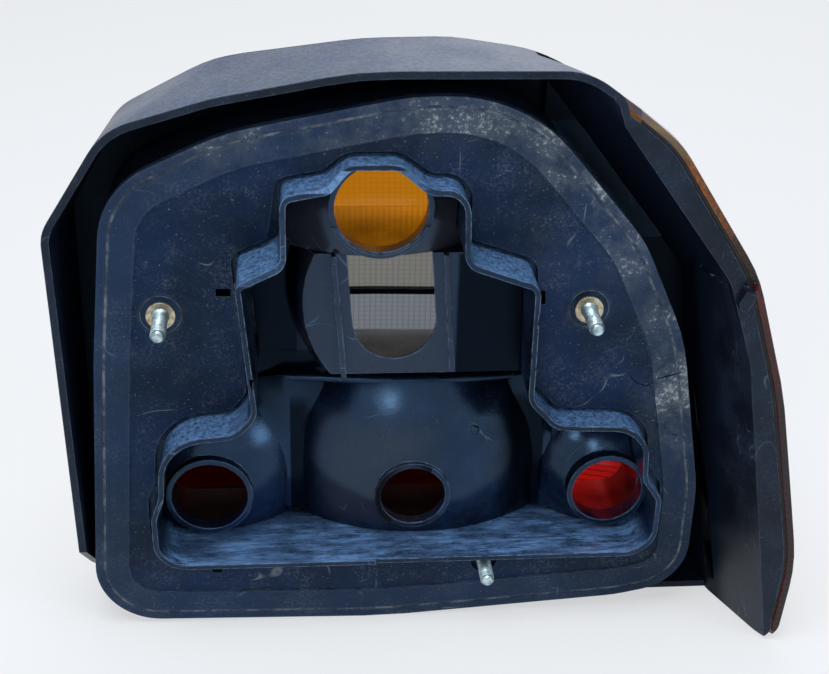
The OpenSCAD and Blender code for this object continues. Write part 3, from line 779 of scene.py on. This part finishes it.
FRONTS: dict[str, LensPlastic] = {
    # Painted glint at the amber lens's upper corner and painted shade on its wing.
    "amber_lens": outside(
        "amber lens", body=srgb(238, 142, 18), deep=srgb(206, 104, 6), shade=srgb(196, 104, 34),
        glint=srgb(206, 216, 240), pitch=FINE, line_depth=0.3, relief_depth=0.000006, clear=0.8),
    "clear_lens": outside(
        "clear lens", body=srgb(200, 203, 208), deep=srgb(160, 163, 168), other=srgb(200, 203, 208),
        shade=srgb(200, 203, 208), pattern=Pattern.MIXED, pitch=FINE, line_depth=0.3, relief_depth=0.000006,
        clear=0.85),
    "red_lens": outside(
        "red lens", body=srgb(200, 20, 16), deep=srgb(140, 6, 8), other=srgb(196, 14, 16), shade=srgb(176, 12, 14),
        pattern=Pattern.RIBS, pitch=COARSE, line_depth=0.35, relief_depth=0.00001, clear=0.75),
}


@dataclass(frozen=True)
class BowlMirror(Finish):
    """The bright metal skin on the inside of a reflector's bowl, with painted light that brightens it towards its
    deepest part.
    """

    bright: Colour = srgb(112, 112, 116)
    hazy: Colour = srgb(88, 86, 86)
    # Painted light: the brighter colour of the bowl's deepest part.
    inmost: Colour = srgb(176, 176, 180)
    inmost_y: Step = (26 * MM, 52 * MM)
    upper_z: Step = (18 * MM, 23 * MM)
    upper_share: float = 0.3

    def build(self) -> bpy.types.Material:
        """Build the material.

        Returns:
            The material.
        """
        shader, surface, made = self.start()
        haze = shader.cloud(60.0, 4.0, 0.6)
        colour = shader.blend(shader.between(haze, 0.35, 0.7), self.bright, self.hazy)
        # Painted light: the mirror turns brighter towards the bowl's deepest part.
        inmost = shader.between(shader.axes()[1], *self.inmost_y)
        shader.feed(surface.inputs["Base Color"], shader.blend(inmost, colour, self.inmost))
        surface.inputs["Metallic"].default_value = 1.0
        upper = shader.between(shader.axes()[2], *self.upper_z, 1.0, self.upper_share)
        rough = shader.times(upper, shader.between(haze, 0.3, 0.7, 0.32, 0.42))
        shader.feed(surface.inputs["Roughness"], rough)
        self.relief(shader, surface, haze, 0.00001)
        return made


class Wardrobe:
    """Holds one built material for each of the record's slots, the lenses' outer finishes and four extras."""

    def __init__(self) -> None:
        """Build every material."""
        self.materials = {slot: finish.build() for slot, finish in FINISHES.items()}
        self.fronts = {slot: finish.build() for slot, finish in FRONTS.items()}
        self.mirror = BowlMirror("bowl mirror").build()
        flush = dict(hidden_from=1.0, hidden_to=2.0, rounding=0.01 * MM, edge=0.0, scratches=0.0, specks=0.1)
        # Pale strips: scratches and a crack on the gasket, and a painted highlight along the wing's seam.
        self.pale = MouldedPlastic(
            "pale marks and highlight", dark=srgb(130, 150, 176), light=srgb(190, 208, 230), dust=0.1, **flush).build()
        # Painted light: the grey of the dull strips is raised to stand in for light on the channel wall and the
        # collar's edge.
        self.dull = MouldedPlastic(
            "dull strip", dark=srgb(92, 96, 106), light=srgb(130, 132, 140), gloss=0.2, **flush).build()
        self.void = MouldedPlastic(
            "shadowed slot", dark=srgb(2, 3, 6), light=srgb(6, 8, 12), dusty=srgb(10, 12, 16), gloss=0.02,
            **flush).build()

    def dress(self, piece: bpy.types.Object, slot: str) -> None:
        """Give a piece the slot's material.

        Args:
            piece: The piece.
            slot: The record's slot.
        """
        material = self.materials[slot]
        if not piece.material_slots:
            piece.data.materials.append(material)
        for held in piece.material_slots:
            held.material = material


def put(name: str, mesh: bmesh.types.BMesh, smooth_below: float = 30.0) -> bpy.types.Object:
    """Turn a finished bmesh into an object that stands at the origin.

    Args:
        name: The piece's name.
        mesh: The bmesh, which is freed.
        smooth_below: Edges that turn by less than this, in degrees, are shaded smooth.

    Returns:
        The object.
    """
    limit = math.radians(smooth_below)
    for face in mesh.faces:
        face.smooth = True
    for edge in mesh.edges:
        edge.smooth = len(edge.link_faces) == 2 and edge.calc_face_angle(0.0) < limit
    data = bpy.data.meshes.new(name)
    mesh.to_mesh(data)
    mesh.free()
    piece = bpy.data.objects.new(name, data)
    bpy.context.scene.collection.objects.link(piece)
    return piece


def surface_of(piece: bpy.types.Object) -> BVHTree:
    """Return a piece's faces, ready for rays."""
    data = piece.data
    return BVHTree.FromPolygons([vert.co for vert in data.vertices], [tuple(face.vertices) for face in data.polygons])


@dataclass
class MouldedCopy:
    """A copy of a CAD node, merged, with its curves shaded smooth and its flats kept flat.

    The middle, in mm, is the point that a lens's outer faces look away from.
    """

    node: str
    slot: str
    mirrored: bool = False
    smooth_below: float = 25.0
    merged_below: float = 0.002 * MM
    outward_above: float = 0.15
    middle: tuple[float, float, float] = (20.0, -50.0, -20.0)

    def line_inside(self, piece: bpy.types.Object, mirror: bpy.types.Material) -> int:
        """Put the mirror on the faces that have the bowl's own shell behind them.

        Args:
            piece: The bowl, dressed in its plastic.
            mirror: The bright finish.

        Returns:
            How many faces got it.
        """
        piece.data.materials.append(mirror)
        tree = surface_of(piece)
        back = Vector((0, -1, 0))
        inner = [
            face for face in piece.data.polygons
            if tree.ray_cast(face.center + face.normal * MM, back)[0] is not None]
        for face in inner:
            face.material_index = 1
        return len(inner)

    def face_outside(self, piece: bpy.types.Object, outside: bpy.types.Material) -> int:
        """Put a lens's outer finish on the faces that look away from the lamp's middle.

        Args:
            piece: The lens, dressed in its inner finish.
            outside: The outer finish.

        Returns:
            How many faces got it.
        """
        middle = Vector(self.middle) * MM
        piece.data.materials.append(outside)
        outer = [
            face for face in piece.data.polygons
            if face.normal.dot((face.center - middle).normalized()) > self.outward_above]
        for face in outer:
            face.material_index = 1
        return len(outer)

    def build(self, frame: dict[str, Any], wardrobe: Wardrobe) -> bpy.types.Object:
        """Build the copy and let it stand for the node.

        Args:
            wardrobe: The materials.

        Returns:
            The copy.
        """
        mesh = bmesh.new()
        mesh.from_mesh(frame["nodes"][self.node].data)
        bmesh.ops.remove_doubles(mesh, verts=mesh.verts, dist=self.merged_below)
        piece = put(f"{self.node}_moulding", mesh, self.smooth_below)
        flat = piece.modifiers.new("flat stays flat", "WEIGHTED_NORMAL")
        flat.mode = "FACE_AREA"
        flat.keep_sharp = True
        wardrobe.dress(piece, self.slot)
        if self.mirrored:
            faces = self.line_inside(piece, wardrobe.mirror)
            LOG.info("%s has its mirror on %d faces", piece.name, faces)
        if self.slot in wardrobe.fronts:
            faces = self.face_outside(piece, wardrobe.fronts[self.slot])
            LOG.info("%s has its outer finish on %d faces", piece.name, faces)
        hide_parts(self.node)
        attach(piece, "root")
        return piece


@dataclass
class FixingStud:
    """A zinc-plated stud with a rolled thread, a plain shank and the anchor moulded into its boss."""

    node: str
    across: float
    up: float
    tip_y: float
    seat_y: float
    thread_d: float = 6.0 * MM
    pitch: float = 1.0 * MM
    root_d: float = 4.9 * MM
    shank_d: float = 6.8 * MM
    anchor_d: float = 10.0 * MM
    anchor_from: float = 5.2 * MM
    anchor_to: float = 13.0 * MM
    chamfer: float = 0.9 * MM
    steps: int = 28

    def turned(self, mesh: bmesh.types.BMesh, profile: Sequence[tuple[float, float]], climb: float = 0.0) -> None:
        """Turn a profile of (radius, depth) points round the stud's axis.

        Args:
            mesh: The mesh to add to.
            profile: The points, from the tip on.
            climb: How far the profile moves along the axis in one turn.
        """
        verts = [mesh.verts.new((self.across + radius, depth, self.up)) for radius, depth in profile]
        edges = [mesh.edges.new(pair) for pair in zip(verts, verts[1:])]
        bmesh.ops.spin(
            mesh, geom=[*verts, *edges], cent=(self.across, 0, self.up), axis=(0, 1, 0),
            dvec=(0, climb / self.steps, 0), angle=math.tau, steps=self.steps, use_merge=climb == 0.0,
            use_normal_flip=False, use_duplicate=False)

    def build(self, wardrobe: Wardrobe) -> bpy.types.Object:
        """Build the stud and let it stand for its node.

        Args:
            wardrobe: The materials.

        Returns:
            The stud.
        """
        mesh = bmesh.new()
        root, crest = self.root_d / 2, self.thread_d / 2
        tiny, start = 0.01 * MM, self.tip_y + self.chamfer
        bottom, shank, anchor = root + 0.1 * MM, self.shank_d / 2, self.anchor_d / 2
        self.turned(mesh, [
            (tiny, self.tip_y), (root - self.chamfer / 2, self.tip_y), (bottom, start),
            (bottom, self.seat_y - self.pitch), (shank, self.seat_y), (shank, self.anchor_from),
            (anchor, self.anchor_from), (anchor, self.anchor_to), (tiny, self.anchor_to)])
        thread = [(root, start)]
        turns = int((self.seat_y - self.pitch - start) / self.pitch) - 1
        for turn in range(turns):
            at = start + turn * self.pitch
            thread += [(crest - 0.05 * MM, at + 0.42 * self.pitch), (crest, at + 0.5 * self.pitch),
                       (crest, at + 0.6 * self.pitch), (root, at + self.pitch)]
        self.turned(mesh, thread, self.pitch)
        bmesh.ops.remove_doubles(mesh, verts=mesh.verts, dist=tiny / 2)
        bmesh.ops.recalc_face_normals(mesh, faces=mesh.faces)
        piece = put(f"{self.node}_threaded", mesh, 25.0)
        wardrobe.dress(piece, "zinc_steel")
        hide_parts(self.node)
        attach(piece, "root")
        return piece


@dataclass
class Sight:
    """The photograph's camera: where it stands, how it is turned and how long its lens is."""

    place: Vector = field(default_factory=lambda: Vector((-35.16, -523.47, 263.47)) * MM)
    right: Vector = field(default_factory=lambda: Vector((0.99632, -0.08208, 0.02485)))
    up: Vector = field(default_factory=lambda: Vector((0.01604, 0.46303, 0.88619)))
    ahead: Vector = field(default_factory=lambda: Vector((0.08424, 0.88253, -0.46265)))
    width: int = 829
    height: int = 674
    focal: float = 1500.0
    sensor: float = 36.0

    def build(self) -> bpy.types.Object:
        """Build the camera and make it the scene's.

        Returns:
            The camera.
        """
        data = bpy.data.cameras.new("photo view")
        data.sensor_width = self.sensor
        data.lens = self.focal / self.width * self.sensor
        data.clip_start = 0.01
        data.dof.use_dof = False
        camera = bpy.data.objects.new("photo view", data)
        turn = Matrix((self.right, self.up, -self.ahead)).transposed().to_4x4()
        camera.matrix_world = Matrix.Translation(self.place) @ turn
        bpy.context.scene.collection.objects.link(camera)
        bpy.context.scene.camera = camera
        return camera

    def ray(self, pixel: tuple[float, float]) -> Vector:
        """Return the direction from the camera through a pixel of the photograph."""
        across = (pixel[0] - self.width / 2) / self.focal
        down = (pixel[1] - self.height / 2) / self.focal
        return (self.ahead + self.right * across - self.up * down).normalized()

    def at_depth(self, pixel: tuple[float, float], depth: float) -> Vector:
        """Return the point of a pixel's ray that lies at a depth, in metres."""
        ray = self.ray(pixel)
        return self.place + ray * ((depth - self.place.y) / ray.y)

    def lands(self, tree: BVHTree, pixel: tuple[float, float]) -> tuple[Vector, Vector] | None:
        """Return where a pixel's ray meets a surface, and how that surface faces."""
        point, normal, _, _ = tree.ray_cast(self.place, self.ray(pixel))
        if point is None:
            return None
        return point, normal if normal.dot(self.ray(pixel)) < 0 else -normal


class Tone(Enum):
    """Which of the wardrobe's extra finishes a small piece wears."""

    PALE = "pale"
    DULL = "dull"
    VOID = "void"


@dataclass
class Ribbon:
    """A thin strip that lies on a piece, through some pixels of the photograph, with its widths there in mm."""

    name: str
    carrier: str
    slot: str
    pixels: tuple[tuple[float, float], ...]
    widths: tuple[float, ...]
    tone: Tone = Tone.PALE
    lift: float = 0.08 * MM

    def build(self, sight: Sight, carrier: bpy.types.Object, wardrobe: Wardrobe) -> bpy.types.Object:
        """Build the strip on what carries it.

        Args:
            sight: The photograph's camera.
            carrier: The piece it lies on.
            wardrobe: The materials.

        Returns:
            The strip.
        """
        tree = surface_of(carrier)
        landed = [(sight.lands(tree, pixel), width * MM) for pixel, width in zip(self.pixels, self.widths)]
        found = [(*spot, width) for spot, width in landed if spot]
        mesh = bmesh.new()
        rails = []
        for index, (point, normal, width) in enumerate(found):
            along = found[min(index + 1, len(found) - 1)][0] - found[max(index - 1, 0)][0]
            side = normal.cross(along).normalized()
            rails.append([mesh.verts.new(point + normal * self.lift + side * width / 2 * way) for way in (-1, 1)])
        for near, far in zip(rails, rails[1:]):
            mesh.faces.new((near[0], far[0], far[1], near[1]))
        bmesh.ops.solidify(mesh, geom=mesh.faces[:], thickness=1.8 * self.lift)
        bmesh.ops.recalc_face_normals(mesh, faces=mesh.faces)
        piece = put(self.name, mesh)
        piece.data.materials.append(getattr(wardrobe, self.tone.value))
        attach(piece, "root")
        return piece


def on_bowl(piece: bpy.types.Object, wardrobe: Wardrobe) -> bpy.types.Object:
    """Dress a piece as part of the centre bowl, and return it."""
    wardrobe.dress(piece, "reflector_plastic")
    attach(piece, "root")
    return piece


@dataclass
class Dome:
    """A small round button, where the mould's pin pushed."""

    name: str = "ejector_dome"
    pixel: tuple[float, float] = (475.0, 430.0)
    radius: float = 2.1 * MM
    height: float = 0.5

    def build(self, sight: Sight, carrier: bpy.types.Object, wardrobe: Wardrobe) -> bpy.types.Object:
        """Build the button on the bowl.

        Args:
            sight: The photograph's camera.
            carrier: The bowl.
            wardrobe: The materials.

        Returns:
            The button.
        """
        point, normal = sight.lands(surface_of(carrier), self.pixel)
        turn = normal.to_track_quat("Z", "Y").to_matrix().to_4x4()
        mesh = bmesh.new()
        bmesh.ops.create_uvsphere(
            mesh, u_segments=32, v_segments=16, radius=self.radius,
            matrix=Matrix.Translation(point) @ turn @ Matrix.Diagonal((1, 1, self.height, 1)))
        piece = put(self.name, mesh)
        return on_bowl(piece, wardrobe)


@dataclass
class BowlFlank:
    """The moulded side of the centre bowl, with the ridge between it and the bowl beside it.

    Each row goes across, from one bowl to the other: a pixel of the photograph, and the depth there in mm.
    """

    name: str
    rows: tuple[tuple[tuple[float, float, float], ...], ...]
    ridge: int
    crease: float = 0.55
    wall: float = 1.0 * MM
    levels: int = 3

    def build(self, sight: Sight, wardrobe: Wardrobe) -> bpy.types.Object:
        """Build the flank.

        Args:
            sight: The photograph's camera.
            wardrobe: The materials.

        Returns:
            The flank.
        """
        mesh = bmesh.new()
        across = len(self.rows[0]) - 1
        bmesh.ops.create_grid(mesh, x_segments=across, y_segments=len(self.rows) - 1, size=0.5)
        mesh.verts.ensure_lookup_table()
        order = sorted(mesh.verts, key=lambda vert: (-round(vert.co.y, 4), vert.co.x))
        spots = [spot for row in self.rows for spot in row]
        crease = mesh.edges.layers.float.new("crease_edge")
        for edge in mesh.edges:
            columns = {order.index(vert) % (across + 1) for vert in edge.verts}
            edge[crease] = self.crease if columns == {self.ridge} else 0.0
        for vert, (left, down, depth) in zip(order, spots):
            vert.co = sight.at_depth((left, down), depth * MM)
        bmesh.ops.recalc_face_normals(mesh, faces=mesh.faces)
        mesh.faces.ensure_lookup_table()
        if mesh.faces[0].normal.y > 0:
            bmesh.ops.reverse_faces(mesh, faces=mesh.faces)
        piece = put(self.name, mesh, 180.0)
        smooth = piece.modifiers.new("drawn smooth", "SUBSURF")
        smooth.levels = self.levels
        smooth.render_levels = self.levels
        thick = piece.modifiers.new("wall", "SOLIDIFY")
        thick.thickness = self.wall
        thick.offset = -1.0
        return on_bowl(piece, wardrobe)


@dataclass
class BowlBrow:
    """The rounded upper edge of the centre bowl, a bead that follows a path given in mm."""

    path: tuple[tuple[float, float, float], ...] = (
        (-37, 29.4, -44.4), (-29, 28.6, -44.2), (-20, 27.4, -44.0), (-10, 26.0, -43.9), (0, 24.6, -43.8),
        (10, 23.6, -43.7), (20, 23.3, -43.7), (30, 23.8, -43.8), (40, 24.8, -43.9), (50, 26.4, -44.1),
        (60, 28.2, -44.4))
    radius: float = 1.7 * MM
    segments: int = 20

    def build(self, wardrobe: Wardrobe) -> bpy.types.Object:
        """Build the bead.

        Args:
            wardrobe: The materials.

        Returns:
            The bead.
        """
        mesh = bmesh.new()
        stops = [Vector(stop) * MM for stop in self.path]
        start = Matrix.Translation(stops[0]) @ Matrix.Rotation(math.pi / 2, 4, "Y")
        bmesh.ops.create_circle(mesh, segments=self.segments, radius=self.radius, matrix=start)
        rim = list(mesh.edges)
        for near, far in zip(stops, stops[1:]):
            grown = bmesh.ops.extrude_edge_only(mesh, edges=rim)["geom"]
            verts = {item for item in grown if isinstance(item, bmesh.types.BMVert)}
            rim = [item for item in grown if isinstance(item, bmesh.types.BMEdge) and set(item.verts) <= verts]
            bmesh.ops.translate(mesh, verts=list(verts), vec=far - near)
        bmesh.ops.holes_fill(mesh, edges=[edge for edge in mesh.edges if edge.is_boundary], sides=self.segments)
        bmesh.ops.recalc_face_normals(mesh, faces=mesh.faces)
        piece = put("centre_bowl_brow", mesh, 50.0)
        return on_bowl(piece, wardrobe)


@dataclass
class RingLip:
    """The raised half ring round the centre bulb's opening."""

    across: float = 16.6 * MM
    up: float = -90.0 * MM
    inner: float = 13.9 * MM
    outer: float = 16.2 * MM
    from_y: float = 3.4 * MM
    to_y: float = 6.2 * MM
    start: float = 62.0
    sweep: float = 168.0
    steps: int = 42
    rounding: float = 0.35 * MM

    def build(self, wardrobe: Wardrobe) -> bpy.types.Object:
        """Build the lip.

        Args:
            wardrobe: The materials.

        Returns:
            The lip.
        """
        mesh = bmesh.new()
        turn = Matrix.Rotation(-math.radians(self.start), 3, "Y")
        middle = Vector((self.across, 0, self.up))
        corners = [
            (self.inner, self.from_y), (self.outer, self.from_y), (self.outer, self.to_y), (self.inner, self.to_y)]
        verts = [mesh.verts.new(middle + turn @ Vector((radius, depth, 0))) for radius, depth in corners]
        face = mesh.faces.new(verts)
        bmesh.ops.spin(
            mesh, geom=[face], cent=middle, axis=(0, -1, 0), dvec=(0, 0, 0), angle=math.radians(self.sweep),
            steps=self.steps, use_merge=False, use_normal_flip=False, use_duplicate=True)
        bmesh.ops.remove_doubles(mesh, verts=mesh.verts, dist=0.001 * MM)
        bmesh.ops.recalc_face_normals(mesh, faces=mesh.faces)
        limit = math.radians(40)
        sharp = [edge for edge in mesh.edges if len(edge.link_faces) == 2 and edge.calc_face_angle(0.0) > limit]
        bmesh.ops.bevel(
            mesh, geom=sharp, offset=self.rounding, offset_type="OFFSET", segments=2, profile=0.5, affect="EDGES",
            material=-1)
        piece = put("centre_ring_lip", mesh)
        return on_bowl(piece, wardrobe)


@dataclass
class Studio:
    """A pale floor, a white surround and five soft lamps."""

    floor_gap: float = 0.3 * MM
    floor_size: float = 9.0
    floor_tone: Colour = (0.86, 0.87, 0.88)
    surround: Colour = (0.80, 0.87, 1.0)
    surround_level: float = 0.42
    floor_glow: float = 0.55

    def lamp(
            self, name: str, at: Sequence[float], towards: Sequence[float], size: float, power: float,
            tint: Colour) -> None:
        """Add one soft square lamp.

        Args:
            name: The lamp's name.
            at: Where it hangs, in metres.
            towards: What it points at.
            size: Its side, in metres.
            power: Its power, in watts.
            tint: Its colour.
        """
        data = bpy.data.lights.new(name, "AREA")
        data.size = size
        data.energy = power
        data.color = tint
        lamp = bpy.data.objects.new(name, data)
        lamp.location = at
        lamp.rotation_euler = (Vector(towards) - Vector(at)).to_track_quat("-Z", "Y").to_euler()
        bpy.context.scene.collection.objects.link(lamp)

    def white_for_eye(self, shader: Shader) -> Socket:
        """Return 1 for what the camera sees, straight or by gloss or glass, and 0 for other light."""
        path = shader.node("LightPath")
        seen = shader.most(path.outputs["Is Camera Ray"], path.outputs["Is Glossy Ray"])
        return shader.most(seen, path.outputs["Is Transmission Ray"])

    def world(self) -> None:
        """Build the surround: white to the eye, soft and cool as a light."""
        world = bpy.data.worlds.new("studio")
        world.use_nodes = True
        bpy.context.scene.world = world
        shader = Shader(world.node_tree)
        plain = shader.node("Background")
        plain.inputs["Color"].default_value = (1, 1, 1, 1)
        plain.inputs["Strength"].default_value = 1.0
        soft = shader.node("Background")
        soft.inputs["Color"].default_value = (*self.surround, 1)
        soft.inputs["Strength"].default_value = self.surround_level
        both = shader.node("MixShader")
        shader.feed(both.inputs[0], self.white_for_eye(shader))
        shader.feed(both.inputs[1], soft.outputs[0])
        shader.feed(both.inputs[2], plain.outputs[0])
        shader.feed(shader.node("OutputWorld").inputs["Surface"], both.outputs[0])

    def floor(self, low: float) -> None:
        """Build the floor just under the lamp.

        Args:
            low: The lamp's lowest point.
        """
        mesh = bmesh.new()
        bmesh.ops.create_grid(mesh, x_segments=2, y_segments=2, size=self.floor_size / 2)
        bmesh.ops.translate(mesh, verts=mesh.verts, vec=(0, 0, low - self.floor_gap))
        floor = put("studio_floor", mesh)
        made = bpy.data.materials.new("studio floor")
        made.use_nodes = True
        shader = Shader(made.node_tree)
        matt = shader.node("BsdfDiffuse")
        shader.feed(matt.inputs["Color"], self.floor_tone)
        glow = shader.node("Emission")
        shader.feed(glow.inputs["Color"], (1.0, 1.0, 1.0))
        both = shader.node("MixShader")
        shader.feed(both.inputs[0], shader.times(self.white_for_eye(shader), self.floor_glow))
        shader.feed(both.inputs[1], matt.outputs[0])
        shader.feed(both.inputs[2], glow.outputs[0])
        shader.feed(shader.node("OutputMaterial").inputs["Surface"], both.outputs[0])
        floor.data.materials.append(made)
        floor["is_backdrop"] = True

    def build(self, low: float) -> None:
        """Build the whole studio.

        Args:
            low: The lamp's lowest point.
        """
        self.world()
        self.floor(low)
        self.lamp("overhead", (-0.2, -0.25, 1.4), (0, 0, 0), 1.0, 13.0, (0.9, 0.95, 1.0))
        self.lamp("front", (-0.5, -1.6, 0.9), (0, 0, -0.03), 0.24, 3.2, (0.93, 0.97, 1.0))
        self.lamp("side", (1.14, -0.75, 0.43), (0, 0, -0.05), 0.42, 3.4, (0.72, 0.86, 1.0))
        self.lamp("kicker", (-0.75, -0.62, 0.65), (0, 0, -0.05), 0.16, 1.1, (0.85, 0.93, 1.0))
        self.lamp("back", (0.5, 1.4, 0.9), (0, 0, 0), 0.9, 3.6, (1.0, 1.0, 1.0))


@dataclass
class TailLight:
    """The whole lamp: which node wears what, and which is shaded smooth."""

    copies: tuple[str, ...] = (
        "outer_shroud", "rear_housing", "housing_flange", "recess_collar", "body_gasket", "turn_reflector",
        "reverse_reflector", "tail_reflector", "turn_lens", "reverse_lens", "tail_lens", "washer_left", "washer_right",
        "boss_seal_left", "boss_seal_right")
    mirrored: tuple[str, ...] = ("turn_reflector", "reverse_reflector", "tail_reflector")
    pitch: float = 168.0 * MM
    lower_at: tuple[float, float] = (47.5 * MM, -121.0 * MM)

    def build(self, frame: dict[str, Any], wardrobe: Wardrobe) -> list[bpy.types.Object]:
        """Build the copies and the studs, and dress what stays.

        Args:
            wardrobe: The materials.

        Returns:
            The new pieces.
        """
        slots = {part["node"]: part["material_slot"] for part in frame["record"]["subparts"]}
        made = []
        for node in self.copies:
            piece = MouldedCopy(node, slots[node], node in self.mirrored).build(frame, wardrobe)
            LOG.info("%s stands for %s, %d faces", piece.name, node, len(piece.data.polygons))
            made.append(piece)
        studs = (
            FixingStud("stud_left", -self.pitch / 2, 0.0, -18.5 * MM, -0.4 * MM),
            FixingStud("stud_right", self.pitch / 2, 0.0, -18.5 * MM, -0.4 * MM),
            FixingStud("stud_lower", self.lower_at[0], self.lower_at[1], -14.0 * MM, 4.0 * MM))
        for stud in studs:
            piece = stud.build(wardrobe)
            LOG.info("%s stands for %s", piece.name, stud.node)
            made.append(piece)
        replaced = {*self.copies, *(stud.node for stud in studs)}
        for node, slot in slots.items():
            if node not in replaced:
                wardrobe.dress(frame["nodes"][node], slot)
                LOG.info("%s keeps its solid and wears %s", node, slot)
        return made


FLANKS = (
    BowlFlank("centre_bowl_flank_left", (
        ((250, 377, 33.0), (268, 376, 31.0), (284, 375, 28.0), (297, 376, 28.2), (312, 377, 29.5), (328, 379, 31.7)),
        ((252, 394, 31.0), (270, 393, 29.0), (287, 392, 26.0), (298, 394, 26.5), (309, 396, 27.5), (320, 398, 29.0)),
        ((258, 418, 25.2), (273, 417, 27.0), (290, 415, 25.0), (296, 417, 25.6), (301, 419, 26.6), (306, 420, 28.1)),
        ((270, 440, 22.1), (281, 440, 23.6), (292, 440, 23.8), (297, 442, 24.1), (301, 443, 24.5), (306, 444, 25.0)),
        ((282, 480, 20.6), (288, 480, 21.6), (295, 480, 21.9), (299, 481, 22.2), (302, 482, 22.6), (306, 482, 23.2)),
        ((284, 506, 24.2), (290, 507, 23.8), (297, 508, 23.4), (300, 508, 23.6), (303, 508, 23.9), (306, 508, 24.7))),
        2),
    BowlFlank("centre_bowl_flank_right", (
        ((505, 376, 30.9), (514, 375, 28.6), (524, 374, 27.4), (534, 374, 27.0), (540, 374, 28.0), (546, 375, 30.0)),
        ((512, 396, 27.4), (520, 395, 26.6), (529, 394, 25.8), (538, 394, 25.2), (542, 395, 27.0), (547, 397, 29.0)),
        ((526, 418, 26.9), (531, 417, 25.6), (536, 416, 25.0), (541, 415, 24.4), (545, 417, 26.0), (549, 420, 28.0)),
        ((530, 440, 25.2), (534, 441, 24.4), (538, 441, 23.8), (543, 441, 23.1), (547, 442, 23.1), (553, 444, 21.3)),
        ((530, 480, 24.5), (535, 480, 23.4), (540, 480, 22.3), (546, 480, 20.6), (549, 480, 18.9), (552, 480, 17.0)),
        ((530, 504, 24.9), (536, 505, 24.0), (542, 506, 23.2), (548, 506, 21.8), (551, 506, 20.9), (554, 506, 20.0))),
        3),
)

RIBBONS = (
    # Painted highlight along the seam on the wing's inner wall.
    Ribbon("wing_seam_highlight", "outer_shroud_moulding", "shroud_plastic",
           ((683, 256), (687, 261), (692, 262), (697, 265), (702, 266), (708, 273), (715, 276), (723, 283)),
           (0.3, 0.9, 1.1, 0.7, 1.0, 0.7, 1.1, 0.4)),
    Ribbon("gasket_crack", "body_gasket_moulding", "gasket_foam",
           ((671, 434), (677, 435), (683, 437), (688, 441), (693, 442)), (0.15, 0.35, 0.3, 0.4, 0.2)),
    Ribbon("gasket_scratch_1", "body_gasket_moulding", "gasket_foam",
           ((629, 375), (637, 383), (646, 386), (656, 381)), (0.1, 0.3, 0.3, 0.15)),
    Ribbon("gasket_scratch_2", "body_gasket_moulding", "gasket_foam",
           ((657, 379), (664, 377), (672, 375), (684, 372)), (0.2, 0.5, 0.4, 0.15)),
    # Painted light: a grey strip on the collar's edge.
    Ribbon("collar_edge_left", "recess_collar_moulding", "housing_plastic",
           ((248, 312), (249, 330), (251, 347), (251, 360), (251, 380), (251, 392)),
           (0.6, 1.5, 1.3, 1.7, 1.4, 0.6), Tone.DULL, 0.15 * MM),
    # Painted light: a grey strip on the channel wall.
    Ribbon("channel_strip", "outer_shroud_moulding", "shroud_plastic",
           ((694, 378), (699, 430), (704, 490), (707, 540), (710, 577)),
           (2.0, 4.0, 5.6, 6.0, 5.0), Tone.DULL, 0.3 * MM),
    Ribbon("collar_slot_left", "body_gasket_moulding", "gasket_foam", ((223, 289), (223, 296)), (5.6, 5.6), Tone.VOID),
    Ribbon("collar_slot_right", "body_gasket_moulding", "gasket_foam", ((541, 291), (541, 304)), (3.4, 3.4), Tone.VOID),
)


def main() -> None:
    """Load the solids, dress them, and set the studio and the camera."""
    logging.basicConfig(level=logging.INFO, format="%(name)s: %(message)s")
    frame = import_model()
    solid = [list(corner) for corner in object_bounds()]
    bpy.context.scene.view_settings.view_transform = "Standard"
    Effects().build()
    wardrobe = Wardrobe()
    made = {piece.name: piece for piece in TailLight().build(frame, wardrobe)}
    sight = Sight()
    sight.build()
    LOG.info("camera stands at the photograph's place")
    for flank in FLANKS:
        LOG.info("%s stands beside the centre bowl", flank.build(sight, wardrobe).name)
    LOG.info("%s rounds the centre bowl's upper edge", BowlBrow().build(wardrobe).name)
    for strip in RIBBONS:
        strip.build(sight, made[strip.carrier], wardrobe)
        LOG.info("%s lies on %s", strip.name, strip.carrier)
    LOG.info("%s stands on the centre bowl", Dome().build(sight, made["tail_reflector_moulding"], wardrobe).name)
    LOG.info("%s stands on the centre bowl", RingLip().build(wardrobe).name)
    Studio().build(solid[0][2])
    LOG.info("studio is lit")


if __name__ == "__main__":
    main()
